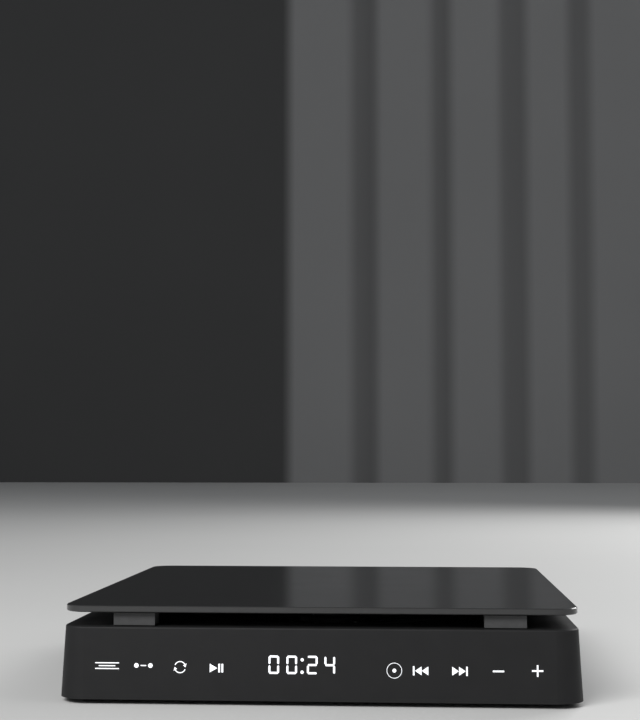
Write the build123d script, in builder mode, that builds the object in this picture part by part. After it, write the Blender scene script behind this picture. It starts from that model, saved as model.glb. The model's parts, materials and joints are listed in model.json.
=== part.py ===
"""Top-loading DVD player with a rear-hinged floating lid.

Millimetres, +Z up, the front faces -Y. The origin is the middle of the footprint, at the soles of the feet.
"""
import os
from math import acos, cos, pi, radians, sin, tan

from build123d import *

os.makedirs("parts", exist_ok=True)

# Overall form
FOOT_H = 2.0
BODY_H = 29.4
LID_GAP = 5.9
BODY_TOP_W = 213.2
BODY_TOP_D = 214.0
BODY_R = 10.0
DRAFT = 3.2
WALL = 2.0
DECK_T = 2.0
TOP_ROUND = 0.8
LID_IN_SIDE = 0.4
LID_OVER_END = 0.5
LID_T = 2.7
LID_R = 10.0
LID_EDGE = 0.35

# Clearances
CASE_FIT = 0.3
RUN_FIT = 0.05
PRESS_FIT = 0.01
SIDE_PLAY = 0.15
SCREW_FIT = 0.05
SOCKET_FIT = 0.3
BACKLASH = 0.10

# Lid furniture
LINER_T = 1.0
LINER_INSET = 15.2
LINER_R = 6.0
LINER_LEAF_GAP = 1.0
PAD_W = 17.2
PAD_D = 9.6
PAD_FROM_SIDE = 30.15
PAD_SET_BACK = 2.5
PAD_CHAMFER = 0.4
MAGNET_R = 3.0
MAGNET_T = 0.8
MAGNET_FROM_SIDE = 22.6
MAGNET_FROM_REAR = 49.0
SENSOR_W = 10.0
SENSOR_D = 7.0
SENSOR_T = 1.0
SENSOR_CHIP_W = 4.0
SENSOR_CHIP_D = 3.0
SENSOR_CHIP_T = 1.4

# Lid hinges
HINGE_FROM_SIDE = 36.6
HINGE_FROM_REAR = 2.7
HINGE_PIN_R = 1.2
KNUCKLE_R = 2.3
EAR_R = 2.6
KNUCKLE_L = 14.0
EAR_T = 2.8
LEAF_T = 1.1
LEAF_D = 13.0
LEAF_SCREW_IN = 3.5
BRACKET_D = 15.0
BRACKET_T = 1.0
BRACKET_SCREW_IN = 5.0
BRACKET_BACK_GAP = 0.8
BRACKET_WEB = 4.0
LID_SKIN = 1.2
SCREW_TIP_FIT = 0.2
HINGE_SCREW_R = 0.95
HINGE_HEAD_R = 1.8
HINGE_HEAD_T = 0.7
HINGE_SCREW_PITCH = 8.0

# Disc well
WELL_FROM_FRONT = 79.0
WELL_R = 62.5
WELL_WALL = 1.8
WELL_FLOOR_T = 1.5
WELL_DEPTH = 5.9
LIP_W = 3.4
LIP_T = 1.1
HUB_HOLE_R = 16.0
PICKUP_SLOT_W = 17.0
PICKUP_SLOT_CLEAR = 2.0
SCALLOP_R = 13.0
SCALLOP_X = 58.0
WELL_FILLET = 1.5
WELL_RIB_R = 18.0
WELL_RIB_W = 1.2
WELL_RIB_H = 0.6

# Base plate
PLATE_T = 2.0
FOOT_R = 7.0
FOOT_CHAMFER = 0.4
FOOT_FROM_SIDE = 26.6
FOOT_FROM_END = 23.0
CASE_SCREW_FROM_SIDE = 11.6
CASE_SCREW_FROM_FRONT = 19.0
CASE_SCREW_FROM_REAR = 11.0
CASE_BOSS_R = 3.3
CASE_SCREW_R = 1.3
CASE_HEAD_R = 2.5
CASE_HEAD_T = 1.0
CASE_SCREW_L = 10.0
VENT_W = 2.2
VENT_L = 26.0
VENT_PITCH = 5.0
VENT_COUNT = 9
VENT_AT = ((-40.0, 72.0), (40.0, 72.0), (-62.0, -20.0))

# Disc drive frame
CHASSIS_Z = 11.0
CHASSIS_T = 1.6
CHASSIS_X0 = -24.0
CHASSIS_X1 = 81.0
CHASSIS_Y0 = -38.0
CHASSIS_Y1 = 50.0
CHASSIS_R = 6.0
CHASSIS_RIM_T = 1.4
CHASSIS_RIM_H = 3.0
MECH_POST_R = 4.2
BUSH_R = 4.4
BUSH_NECK_R = 3.0
BUSH_FLANGE = 2.0
BUSH_TOP = 1.0
BUSH_INSET = 6.5
MECH_SCREW_R = 1.25
MECH_HEAD_R = 2.6
MECH_HEAD_T = 1.3
ROD_R = 1.5
ROD_Z = 16.0
MAIN_ROD_Y = 17.0
SUB_ROD_Y = -20.0
ROD_X0 = 8.0
ROD_X1 = 79.0
ROD_POST_L = 4.0
ROD_POST_W = 5.6
ROD_POST_TOP = 2.6
WINDOW_X0 = 16.0
WINDOW_X1 = 73.0
WINDOW_Y0 = -14.0
WINDOW_Y1 = 12.0
WINDOW_R = 3.0
MECH_SCREW_SHORT = 0.5

# Spindle
DISC_BORE_R = 7.5
SPINDLE_BASE_R = 13.2
SPINDLE_BASE_T = 0.8
SPINDLE_EAR_R = 3.0
SPINDLE_EAR_Y = 16.0
SPINDLE_SCREW_R = 1.0
SPINDLE_HEAD_R = 1.9
SPINDLE_HEAD_T = 0.9
BEARING_R = 3.0
BEARING_GAP = 0.6
STATOR_R = 9.9
STATOR_H = 4.6
STATOR_RISE = 3.4
STATOR_SLOTS = 9
STATOR_SLOT_W = 1.6
STATOR_SLOT_OUT = 1.5
ROTOR_R = 12.5
ROTOR_ROUND = 0.6
ROTOR_WALL = 0.8
ROTOR_TOP_T = 1.2
ROTOR_H = 8.6
ROTOR_TOP_Z = 24.5
ROTOR_MAGNET_T = 0.9
ROTOR_MAGNET_H = 5.6
ROTOR_MAGNET_RISE = 0.4
SPINDLE_HUB_R = 6.0
SHAFT_R = 1.0
TURNTABLE_R = 14.5
TURNTABLE_T = 1.8
DISC_SEAT_Z = 28.5
SEAT_PAD_T = 0.5
SEAT_PAD_IN = 9.0
SEAT_PAD_INSET = 0.3
HUB_H = 3.8
HUB_CHAMFER = 0.7
HUB_CLEAR = 0.05
SHAFT_COVER = 1.2
CLAW_W = 3.2
CLAW_SLOT_FIT = 0.1
CLAW_H = 1.4
CLAW_IN_R = 3.9
CLAW_TIP_R = 7.6
CLAW_TIP_UP = 0.8
CLAW_NOSE = 0.3
CLAW_TRAVEL = 0.5
CLAW_STOP = 0.2
CLAW_RISE = 1.35

# Pickup sled
LENS_X0 = 23.0
LENS_TRAVEL = 34.0
PICKUP_BACK = 9.5
PICKUP_FRONT = 14.0
PICKUP_BODY_W = 28.0
PICKUP_BOTTOM = 13.8
PICKUP_TOP = 22.4
PICKUP_R = 2.0
PICKUP_CHAMFER = 0.8
ROD_BOSS_R = 3.0
BOSS_ROOT = 2.0
FLANGE_OVER = 0.4
FLANGE_SHORT = 3.0
FORK_ROOT = 1.0
FORK_OVER = 3.0
FORK_H = 5.0
FORK_RISE = 0.3
HOLDER_IN = 7.0
HOLDER_OUT = 3.8
HOLDER_W = 14.0
HOLDER_BOTTOM = 20.4
HOLDER_TOP = 25.9
HOLDER_GAP = 0.8
HOLDER_R = 1.0
HOLDER_CHAMFER = 0.6
LENS_R = 2.1
LENS_DOME = 0.7
LENS_SEAT = 0.8

# Sled gears
GEAR_MODULE = 0.5
FINE_MODULE = 0.4
SLED_TEETH = 40
PINION_TEETH = 14
WHEEL_TEETH = 48
MOTOR_TEETH = 12
RACK_TEETH = 27
PRESSURE = 20.0
ADDENDUM = 0.85
DEDENDUM = 1.2
GEAR_Z = 13.5
GEAR_T = 2.4
WHEEL_T = 1.5
WHEEL_GAP = 0.9
RACK_Y = 24.0
RACK_TEETH_AHEAD = 2
SLED_GEAR_X = 40.0
GEAR_HOLES = 5
SLED_HOLE_AT = 6.2
SLED_HOLE_R = 1.8
WHEEL_HOLE_AT = 6.0
WHEEL_HOLE_R = 1.7
AXLE_R = 1.0
AXLE_HEAD_R = 1.9
AXLE_HEAD_T = 0.6
GEAR_HUB_R = 2.3
GEAR_PLAY = 0.1
MOTOR_R = 8.0
MOTOR_H = 6.0
MOTOR_ROUND = 0.6
MOTOR_SHAFT_R = 0.75
MOTOR_SHAFT_END = 1.0
MOTOR_SHAFT_OVER = 0.3
MOTOR_PINION_T = 2.6

# Boards
BOARD_T = 1.6
BOARD_Z = 8.0
BOARD_D = 61.0
BOARD_FROM_LEFT = 20.6
BOARD_FROM_RIGHT = 18.6
BOARD_FROM_REAR = 4.0
BOARD_POST_R = 3.0
BOARD_SCREW_R = 1.2
BOARD_HEAD_R = 2.4
BOARD_HEAD_T = 1.2
BOARD_SCREW_L = 6.0
BOARD_SCREW_INSET = 5.0
BOARD_SCREW_REAR = 11.0
CHIP_SIZE = 18.0
CHIP_T = 1.4
CHIP_AT = (-15.0, -6.5)
SINK_SIZE = 24.0
SINK_BASE = 1.5
SINK_H = 9.0
SINK_FINS = 7
SINK_FIN_T = 1.0
CAP_R = 4.0
CAP_H = 11.0
CAP_ROUND = 0.5
CAPS_AT = ((55.0, -10.5), (67.0, -10.5), (61.0, 3.5), (-37.0, 3.5))

# Small chips, each with its place from the middle of the board, width, depth and thickness
SMALL_CHIPS = (
    (-59.0, -14.5, 14.0, 8.0, 1.2),
    (-41.0, -16.5, 6.0, 6.0, 1.0),
    (15.0, -12.5, 10.0, 6.0, 1.2),
    (33.0, -16.5, 8.0, 8.0, 1.4),
    (15.0, 7.5, 7.0, 7.0, 1.0),
    (-69.0, 1.5, 6.0, 4.0, 1.0),
)

# Front display
KEY_Z = 15.35
KEY_PITCH = 15.4
KEY_COUNT = 4
KEY_FROM_SIDE = 18.7
KEY_R = 4.6
DISPLAY_X = -6.3
DISPLAY_Z = 16.4
DISPLAY_W = 38.0
DISPLAY_H = 14.0
DISPLAY_GAP = 5.0
DISPLAY_BOARD_SIDE = 8.6
DISPLAY_BOARD_H = 20.0
DISPLAY_BOARD_UP = 0.3
DISPLAY_FIT = 0.05
DISPLAY_BOSS_R = 2.4
DISPLAY_BOSS_UP = 6.0
IR_FROM_KEY = 10.45
IR_Z = 14.8
IR_W = 5.6
IR_H = 6.4
IR_DOME_IN = 0.3

# Rear panel and its sockets
PANEL_FROM_SIDE = 18.6
PANEL_UNDER_DECK = 1.4
PANEL_FIT = 0.15
PANEL_EDGE = 0.3
PANEL_LIP = 1.2
PANEL_LIP_T = 1.2
PANEL_RIB_IN = 10.0
PANEL_RIB_W = 4.0
PANEL_RIB_T = 1.6
PANEL_RIB_H = 3.4
PANEL_TAB_H = 4.0
SWITCH_FROM_SIDE = 26.6
DC_TO_SWITCH = 18.0
SOCKET_PITCH = 24.0
AV_FROM_SIDE = 60.6
AV_PITCH = 14.0
AV_AXIS_Z = 19.0
AV_BARREL_R = 4.15
AV_PIN_R = 1.65
AV_WALL = 0.75
AV_COLLAR = 0.5
AV_COLLAR_OUT = 0.3
AV_BAY_DEPTH = 8.6
AV_BAY_H = 15.0
AV_BAY_SIDE = 3.5
AV_BAY_R = 2.5
AV_BAY_FLOOR = 1.4
AV_INSERT_IN = 0.3
AV_BLOCK_D = 11.0
AV_BLOCK_TOP = 5.5
HDMI_W = 15.0
HDMI_H = 6.0
HDMI_D = 12.0
HDMI_IN_W = 14.0
HDMI_IN_H = 4.6
USB_W = 13.2
USB_H = 6.0
USB_D = 14.0
USB_IN_W = 12.5
USB_IN_H = 5.1
DC_W = 9.0
DC_H = 11.0
DC_D = 13.0
DC_BACK = 3.0
DC_BORE_R = 3.2
DC_PIN_R = 1.0
SWITCH_W = 12.0
SWITCH_H = 6.0
SWITCH_D = 6.0
KNOB_W = 3.0
KNOB_H = 3.0
KNOB_TRAVEL = 2.5
KNOB_OUT = 0.5
KNOB_ROUND = 0.4
SOCKET_RECESS = 0.5
SOCKET_SHELL = 0.5
TONGUE_T = 1.6
TONGUE_BACK = 1.5
HDMI_TONGUE_SIDE = 1.8
USB_TONGUE_SIDE = 0.8
USB_TONGUE_TOP = 0.5

# Levels and faces that follow from the sizes above
DECK_Z = FOOT_H + BODY_H
DECK_UNDER = DECK_Z - DECK_T
LID_Z = DECK_Z + LID_GAP
PLATE_TOP = FOOT_H + PLATE_T
SLOPE = tan(radians(DRAFT))
BODY_W = BODY_TOP_W + 2 * BODY_H * SLOPE
BODY_D = BODY_TOP_D + 2 * BODY_H * SLOPE
LID_W = BODY_TOP_W - 2 * LID_IN_SIDE
LID_D = BODY_TOP_D + 2 * LID_OVER_END
HINGE_X = BODY_TOP_W / 2 - HINGE_FROM_SIDE
HINGE_Y = BODY_TOP_D / 2 - HINGE_FROM_REAR
HINGE_Z = (DECK_Z + LID_Z) / 2
WELL_Y = WELL_FROM_FRONT - BODY_TOP_D / 2
WELL_FLOOR = DECK_Z - WELL_DEPTH
CHASSIS_TOP = CHASSIS_Z + CHASSIS_T
BOARD_TOP = BOARD_Z + BOARD_T
BOARD_X0 = BOARD_FROM_LEFT - BODY_TOP_W / 2
BOARD_X1 = BODY_TOP_W / 2 - BOARD_FROM_RIGHT
BOARD_Y1 = BODY_TOP_D / 2 - BOARD_FROM_REAR
BOARD_Y0 = BOARD_Y1 - BOARD_D
PANEL_W = BODY_TOP_W - 2 * PANEL_FROM_SIDE
PANEL_TOP = DECK_UNDER - PANEL_UNDER_DECK
SWITCH_X = BODY_TOP_W / 2 - SWITCH_FROM_SIDE
DC_X = SWITCH_X - DC_TO_SWITCH
USB_X = DC_X - SOCKET_PITCH
HDMI_X = USB_X - SOCKET_PITCH
AV_X = AV_FROM_SIDE - BODY_TOP_W / 2


def wall_y(z):
    """Distance of the outer front or rear face from the middle, at height z."""
    return BODY_TOP_D / 2 + (DECK_Z - z) * SLOPE


def rear_plane(y):
    """Upright plane at y whose sketches lie in x and z and extrude towards the front."""
    return Plane(origin=(0, y, 0), x_dir=(1, 0, 0), z_dir=(0, -1, 0))


def level(z, x=0.0, y=0.0):
    """Flat plane at height z, centred on x and y."""
    return Plane(origin=(x, y, z))


# Inner face of the front wall, leaning with the draft, with its origin at the height of the keys
FRONT_WALL = Plane(
    origin=(0, -wall_y(KEY_Z) + WALL / cos(radians(DRAFT)), KEY_Z),
    x_dir=(1, 0, 0),
    z_dir=(0, -cos(radians(DRAFT)), sin(radians(DRAFT))),
)


case_screw_x = BODY_TOP_W / 2 - CASE_SCREW_FROM_SIDE
case_screw_ys = (CASE_SCREW_FROM_FRONT - BODY_TOP_D / 2, BODY_TOP_D / 2 - CASE_SCREW_FROM_REAR)
case_screws = [(x, y) for x in (-case_screw_x, case_screw_x) for y in case_screw_ys]
key_last = BODY_TOP_W / 2 - KEY_FROM_SIDE
key_places = [(sx * (key_last - i * KEY_PITCH), 0) for sx in (-1, 1) for i in range(KEY_COUNT)]
display_screws_at = [
    (sx * (key_last - i * KEY_PITCH), DISPLAY_BOSS_UP) for sx in (-1, 1) for i in (0.5, KEY_COUNT - 1.5)
]
ir_x = key_last - (KEY_COUNT - 1) * KEY_PITCH - IR_FROM_KEY
board_mid = ((BOARD_X0 + BOARD_X1) / 2, (BOARD_Y0 + BOARD_Y1) / 2)
magnet_at = (BODY_TOP_W / 2 - MAGNET_FROM_SIDE, BODY_TOP_D / 2 - MAGNET_FROM_REAR)


def screws(seat, points, head_r, head_t, shank_r, shank_l, way=1):
    """Headed screws on a seat plane: heads on one side, shanks on the other."""
    with BuildSketch(seat) as heads:
        with Locations(*points):
            Circle(head_r)
    extrude(heads.sketch, amount=-way * head_t)
    with BuildSketch(seat) as shanks:
        with Locations(*points):
            Circle(shank_r)
    extrude(shanks.sketch, amount=way * shank_l)


def holes(seat, points, radius, depth):
    """Round holes cut from a plane along its normal, or against it for a negative depth."""
    with BuildSketch(seat) as circles:
        with Locations(*points):
            Circle(radius)
    extrude(circles.sketch, amount=depth, mode=Mode.SUBTRACT)


def rear_slab(x, width, z0, z1, inset, thickness):
    """Leaning slab that follows the rear wall, inset from its outer face, between two heights."""
    with BuildSketch(Plane.YZ.offset(x - width / 2)) as side:
        with BuildLine():
            Polyline(
                (wall_y(z0) - inset, z0),
                (wall_y(z1) - inset, z1),
                (wall_y(z1) - inset - thickness, z1),
                (wall_y(z0) - inset - thickness, z0),
                close=True,
            )
        make_face()
    extrude(side.sketch, amount=width)


def well_outline(extra):
    """Plan of the disc well with its two finger scallops, grown by extra."""
    Circle(WELL_R + extra)
    with Locations((-SCALLOP_X, 0), (SCALLOP_X, 0)):
        Circle(SCALLOP_R + extra)


# Upper housing: one drafted shell with its deck, screw bosses and rear openings
bottom_r = BODY_R + BODY_H * SLOPE
av_floor_y = wall_y(AV_AXIS_Z) - AV_BAY_DEPTH
av_bay_w = 2 * (AV_PITCH + AV_BARREL_R + AV_BAY_SIDE)
hdmi_z = BOARD_TOP + HDMI_H / 2
usb_z = BOARD_TOP + USB_H / 2
dc_z = BOARD_TOP + DC_H / 2
switch_z = BOARD_TOP + SWITCH_H / 2
rear_cut = BODY_H * SLOPE + WALL + PANEL_LIP_T + CASE_FIT
rib_inset = WALL + PANEL_LIP_T + RUN_FIT
av_side = av_bay_w / 2 + AV_BAY_FLOOR
rib_places = (PANEL_RIB_IN - PANEL_W / 2, AV_X + av_side + PANEL_RIB_IN, PANEL_W / 2 - PANEL_RIB_IN)

with BuildPart() as upper_housing:
    with BuildSketch(level(FOOT_H)):
        RectangleRounded(BODY_W, BODY_D, bottom_r)
    extrude(amount=BODY_H, taper=DRAFT)
    fillet(upper_housing.faces().sort_by(Axis.Z)[-1].edges(), TOP_ROUND)
    with BuildSketch(level(FOOT_H)):
        RectangleRounded(BODY_W - 2 * WALL, BODY_D - 2 * WALL, bottom_r - WALL)
    extrude(amount=BODY_H - DECK_T, taper=DRAFT, mode=Mode.SUBTRACT)
    # opening for the disc well, with the ledge that its lip lies on
    with BuildSketch(level(DECK_Z, 0, WELL_Y)):
        well_outline(WELL_WALL + CASE_FIT)
    extrude(amount=-DECK_T, mode=Mode.SUBTRACT)
    with BuildSketch(level(DECK_Z, 0, WELL_Y)):
        well_outline(LIP_W + CASE_FIT)
    extrude(amount=-LIP_T, mode=Mode.SUBTRACT)
    # corner bosses and the bosses behind the keys
    with BuildSketch(level(PLATE_TOP)):
        with Locations(*case_screws):
            Circle(CASE_BOSS_R)
    extrude(amount=DECK_UNDER - PLATE_TOP)
    holes(level(PLATE_TOP), case_screws, CASE_SCREW_R + SCREW_FIT, CASE_SCREW_L)
    with BuildSketch(FRONT_WALL.offset(WALL / 2)):
        with Locations(*display_screws_at):
            Circle(DISPLAY_BOSS_R)
    extrude(amount=-DISPLAY_GAP - WALL / 2)
    holes(FRONT_WALL.offset(-DISPLAY_GAP), display_screws_at, BOARD_SCREW_R + SCREW_FIT, DISPLAY_GAP)
    # opening for the rear panel, open at the bottom, and the ribs that hold the panel's lip
    with BuildSketch(rear_plane(BODY_D / 2)):
        with Locations((0, PANEL_TOP + PANEL_FIT)):
            Rectangle(PANEL_W + 2 * PANEL_FIT, PANEL_TOP + PANEL_FIT, align=(Align.CENTER, Align.MAX))
    extrude(amount=rear_cut, mode=Mode.SUBTRACT)
    for rib_x in rib_places:
        rear_slab(rib_x, PANEL_RIB_W, DECK_UNDER - PANEL_RIB_H, DECK_UNDER, rib_inset, PANEL_RIB_T)
    # screw holes of the hinge brackets
    hinge_screws_at = [
        (sx * HINGE_X + dx * HINGE_SCREW_PITCH / 2, HINGE_Y - BRACKET_D + BRACKET_SCREW_IN)
        for sx in (-1, 1)
        for dx in (-1, 1)
    ]
    holes(level(DECK_Z), hinge_screws_at, HINGE_SCREW_R + SCREW_FIT, -DECK_T)
upper_housing.part.label = "upper_housing"
export_step(upper_housing.part, "parts/upper_housing.step")

# Rear panel: slides up into the housing behind a lip, with a bay for the picture and sound jacks
lip_bottom = PLATE_TOP + CASE_FIT
with BuildPart() as rear_panel:
    rear_slab(0, PANEL_W, FOOT_H, PANEL_TOP, 0, WALL)
    chamfer(rear_panel.faces().filter_by(lambda f: f.normal_at().Y > 0.9).edges(), PANEL_EDGE)
    rear_slab(0, PANEL_W + 2 * PANEL_LIP, lip_bottom, PANEL_TOP + PANEL_LIP, WALL, PANEL_LIP_T)
    with BuildSketch(rear_plane(wall_y(DECK_Z))):
        with Locations((AV_X, AV_AXIS_Z)):
            RectangleRounded(2 * av_side, AV_BAY_H + 2 * AV_BAY_FLOOR, AV_BAY_R + AV_BAY_FLOOR)
    extrude(amount=wall_y(DECK_Z) - av_floor_y + AV_BAY_FLOOR)
    with BuildSketch(rear_plane(BODY_D / 2)):
        with Locations((AV_X, AV_AXIS_Z)):
            RectangleRounded(av_bay_w, AV_BAY_H, AV_BAY_R)
    extrude(amount=BODY_D / 2 - av_floor_y, mode=Mode.SUBTRACT)
    av_centres = [(AV_X + i * AV_PITCH, AV_AXIS_Z) for i in (-1, 0, 1)]
    holes(rear_plane(av_floor_y), av_centres, AV_BARREL_R + AV_COLLAR + CASE_FIT, AV_BAY_FLOOR)
    # openings for the other sockets and the switch
    with BuildSketch(rear_plane(BODY_D / 2)):
        with Locations((HDMI_X, hdmi_z)):
            Rectangle(HDMI_W + 2 * SOCKET_FIT, HDMI_H + 2 * SOCKET_FIT)
        with Locations((USB_X, usb_z)):
            Rectangle(USB_W + 2 * SOCKET_FIT, USB_H + 2 * SOCKET_FIT)
        with Locations((DC_X, dc_z)):
            Rectangle(DC_W + 2 * SOCKET_FIT, DC_H + 2 * SOCKET_FIT)
        with Locations((SWITCH_X, switch_z)):
            Rectangle(KNOB_W + KNOB_TRAVEL + 2 * SOCKET_FIT, KNOB_H + 2 * SOCKET_FIT)
    extrude(amount=rear_cut, mode=Mode.SUBTRACT)
rear_panel.part.label = "rear_panel"
export_step(rear_panel.part, "parts/rear_panel.step")

# Disc well: a round dish with two finger scallops, dropped into the deck by its lip
slot_end = LENS_X0 + LENS_TRAVEL + HOLDER_OUT + PICKUP_SLOT_CLEAR
with BuildPart() as disc_well:
    with BuildSketch(level(WELL_FLOOR - WELL_FLOOR_T, 0, WELL_Y)):
        well_outline(WELL_WALL)
    extrude(amount=WELL_DEPTH + WELL_FLOOR_T)
    with BuildSketch(level(DECK_Z, 0, WELL_Y)):
        well_outline(LIP_W)
    extrude(amount=-LIP_T)
    with BuildSketch(level(WELL_FLOOR, 0, WELL_Y)):
        well_outline(0)
    extrude(amount=WELL_DEPTH, mode=Mode.SUBTRACT)
    fillet(disc_well.faces().filter_by(Axis.Z).group_by(Axis.Z)[1].edges(), WELL_FILLET)
    with BuildSketch(level(WELL_FLOOR, 0, WELL_Y)):
        Circle(WELL_RIB_R + WELL_RIB_W)
        Circle(WELL_RIB_R, mode=Mode.SUBTRACT)
    extrude(amount=WELL_RIB_H)
    with BuildSketch(level(WELL_FLOOR - WELL_FLOOR_T, 0, WELL_Y)):
        Circle(HUB_HOLE_R)
        with Locations((slot_end / 2, 0)):
            Rectangle(slot_end, PICKUP_SLOT_W)
    extrude(amount=WELL_FLOOR_T + WELL_RIB_H, mode=Mode.SUBTRACT)
disc_well.part.label = "disc_well"
export_step(disc_well.part, "parts/disc_well.step")

# Lid pads: two blocks on the deck that the closed lid rests on
pad_x = BODY_TOP_W / 2 - PAD_FROM_SIDE
pad_y = PAD_SET_BACK + PAD_D / 2 - BODY_TOP_D / 2
for side, sx in (("left", -1), ("right", 1)):
    with BuildPart() as lid_pad:
        with BuildSketch(level(DECK_Z, sx * pad_x, pad_y)):
            Rectangle(PAD_W, PAD_D)
        extrude(amount=LID_GAP)
        chamfer(lid_pad.faces().filter_by(Axis.Z).edges(), PAD_CHAMFER)
    lid_pad.part.label = f"lid_pad_{side}"
    export_step(lid_pad.part, f"parts/lid_pad_{side}.step")

# Base plate: closes the housing from below and carries the drive and the board on posts
plate_w = BODY_W - 2 * WALL - 2 * CASE_FIT
plate_d = BODY_D - 2 * WALL - 2 * CASE_FIT
bush_places = [
    (x, WELL_Y + y)
    for x in (CHASSIS_X0 + BUSH_INSET, CHASSIS_X1 - BUSH_INSET)
    for y in (CHASSIS_Y0 + BUSH_INSET, CHASSIS_Y1 - BUSH_INSET)
]
board_screws_at = [
    (x, y)
    for x in (BOARD_X0 + BOARD_SCREW_INSET, BOARD_X1 - BOARD_SCREW_INSET)
    for y in (BOARD_Y0 + BOARD_SCREW_INSET, BOARD_Y1 - BOARD_SCREW_REAR)
]
bush_bottom = CHASSIS_Z - BUSH_FLANGE
with BuildPart() as base_plate:
    with BuildSketch(level(FOOT_H)):
        RectangleRounded(plate_w, plate_d, bottom_r - WALL - CASE_FIT)
    extrude(amount=PLATE_T, taper=DRAFT)
    with BuildSketch(level(PLATE_TOP)):
        with Locations(*bush_places):
            Circle(MECH_POST_R)
    extrude(amount=bush_bottom - PLATE_TOP)
    with BuildSketch(level(PLATE_TOP)):
        with Locations(*board_screws_at):
            Circle(BOARD_POST_R)
    extrude(amount=BOARD_Z - PLATE_TOP)
    holes(level(bush_bottom), bush_places, MECH_SCREW_R + SCREW_FIT, PLATE_TOP - bush_bottom)
    holes(level(BOARD_Z), board_screws_at, BOARD_SCREW_R + SCREW_FIT, PLATE_TOP - BOARD_Z)
    holes(level(FOOT_H), case_screws, CASE_SCREW_R + SCREW_FIT, PLATE_T)
    holes(level(FOOT_H), case_screws, CASE_HEAD_R + SCREW_FIT, CASE_HEAD_T)
    for x, y in VENT_AT:
        with BuildSketch(level(FOOT_H, x, y)):
            with GridLocations(VENT_PITCH, 0, VENT_COUNT, 1):
                SlotOverall(VENT_L, VENT_W, rotation=90)
        extrude(amount=PLATE_T, mode=Mode.SUBTRACT)
    for rib_x in rib_places:
        rear_slab(rib_x, PANEL_RIB_W, PLATE_TOP, PLATE_TOP + PANEL_TAB_H, rib_inset, PANEL_RIB_T)
base_plate.part.label = "base_plate"
export_step(base_plate.part, "parts/base_plate.step")

# Feet
with BuildPart() as rubber_feet:
    with BuildSketch(level(0)):
        with GridLocations(BODY_TOP_W - 2 * FOOT_FROM_SIDE, BODY_TOP_D - 2 * FOOT_FROM_END, 2, 2):
            Circle(FOOT_R)
    extrude(amount=FOOT_H)
    chamfer(rubber_feet.faces().sort_by(Axis.Z)[:4].edges(), FOOT_CHAMFER)
rubber_feet.part.label = "rubber_feet"
export_step(rubber_feet.part, "parts/rubber_feet.step")

with BuildPart() as base_screws:
    screws(level(FOOT_H + CASE_HEAD_T), case_screws, CASE_HEAD_R, CASE_HEAD_T, CASE_SCREW_R, CASE_SCREW_L)
base_screws.part.label = "base_screws"
export_step(base_screws.part, "parts/base_screws.step")

# Lid plate and the liner below it
leaf_screws_at = [
    (sx * HINGE_X + dx * HINGE_SCREW_PITCH / 2, HINGE_Y - LEAF_D + LEAF_SCREW_IN)
    for sx in (-1, 1)
    for dx in (-1, 1)
]
leaf_screw_l = LEAF_T + LID_T - LID_SKIN
with BuildPart() as lid_plate:
    with BuildSketch(level(LID_Z)):
        RectangleRounded(LID_W, LID_D, LID_R)
    extrude(amount=LID_T)
    chamfer(lid_plate.faces().filter_by(Axis.Z).edges(), LID_EDGE)
    holes(level(LID_Z), leaf_screws_at, HINGE_SCREW_R + SCREW_FIT, leaf_screw_l - LEAF_T + SCREW_TIP_FIT)
lid_plate.part.label = "lid_plate"
export_step(lid_plate.part, "parts/lid_plate.step")

liner_front = -LID_D / 2 + LINER_INSET
liner_rear = HINGE_Y - LEAF_D - LINER_LEAF_GAP
with BuildPart() as lid_liner:
    with BuildSketch(level(LID_Z - LINER_T, 0, (liner_front + liner_rear) / 2)):
        RectangleRounded(LID_W - 2 * LINER_INSET, liner_rear - liner_front, LINER_R)
    extrude(amount=LINER_T)
    holes(level(LID_Z), [magnet_at], MAGNET_R + RUN_FIT, -LINER_T)
lid_liner.part.label = "lid_liner"
export_step(lid_liner.part, "parts/lid_liner.step")

with BuildPart() as lid_magnet:
    with BuildSketch(level(LID_Z, *magnet_at)):
        Circle(MAGNET_R)
    extrude(amount=-MAGNET_T)
lid_magnet.part.label = "lid_magnet"
export_step(lid_magnet.part, "parts/lid_magnet.step")

# Small sensor board under the deck that feels the magnet
with BuildPart() as lid_sensor:
    with BuildSketch(level(DECK_UNDER, *magnet_at)):
        Rectangle(SENSOR_W, SENSOR_D)
    extrude(amount=-SENSOR_T)
    with BuildSketch(level(DECK_UNDER - SENSOR_T, *magnet_at)):
        Rectangle(SENSOR_CHIP_W, SENSOR_CHIP_D)
    extrude(amount=-SENSOR_CHIP_T)
lid_sensor.part.label = "lid_sensor"
export_step(lid_sensor.part, "parts/lid_sensor.step")

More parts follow.
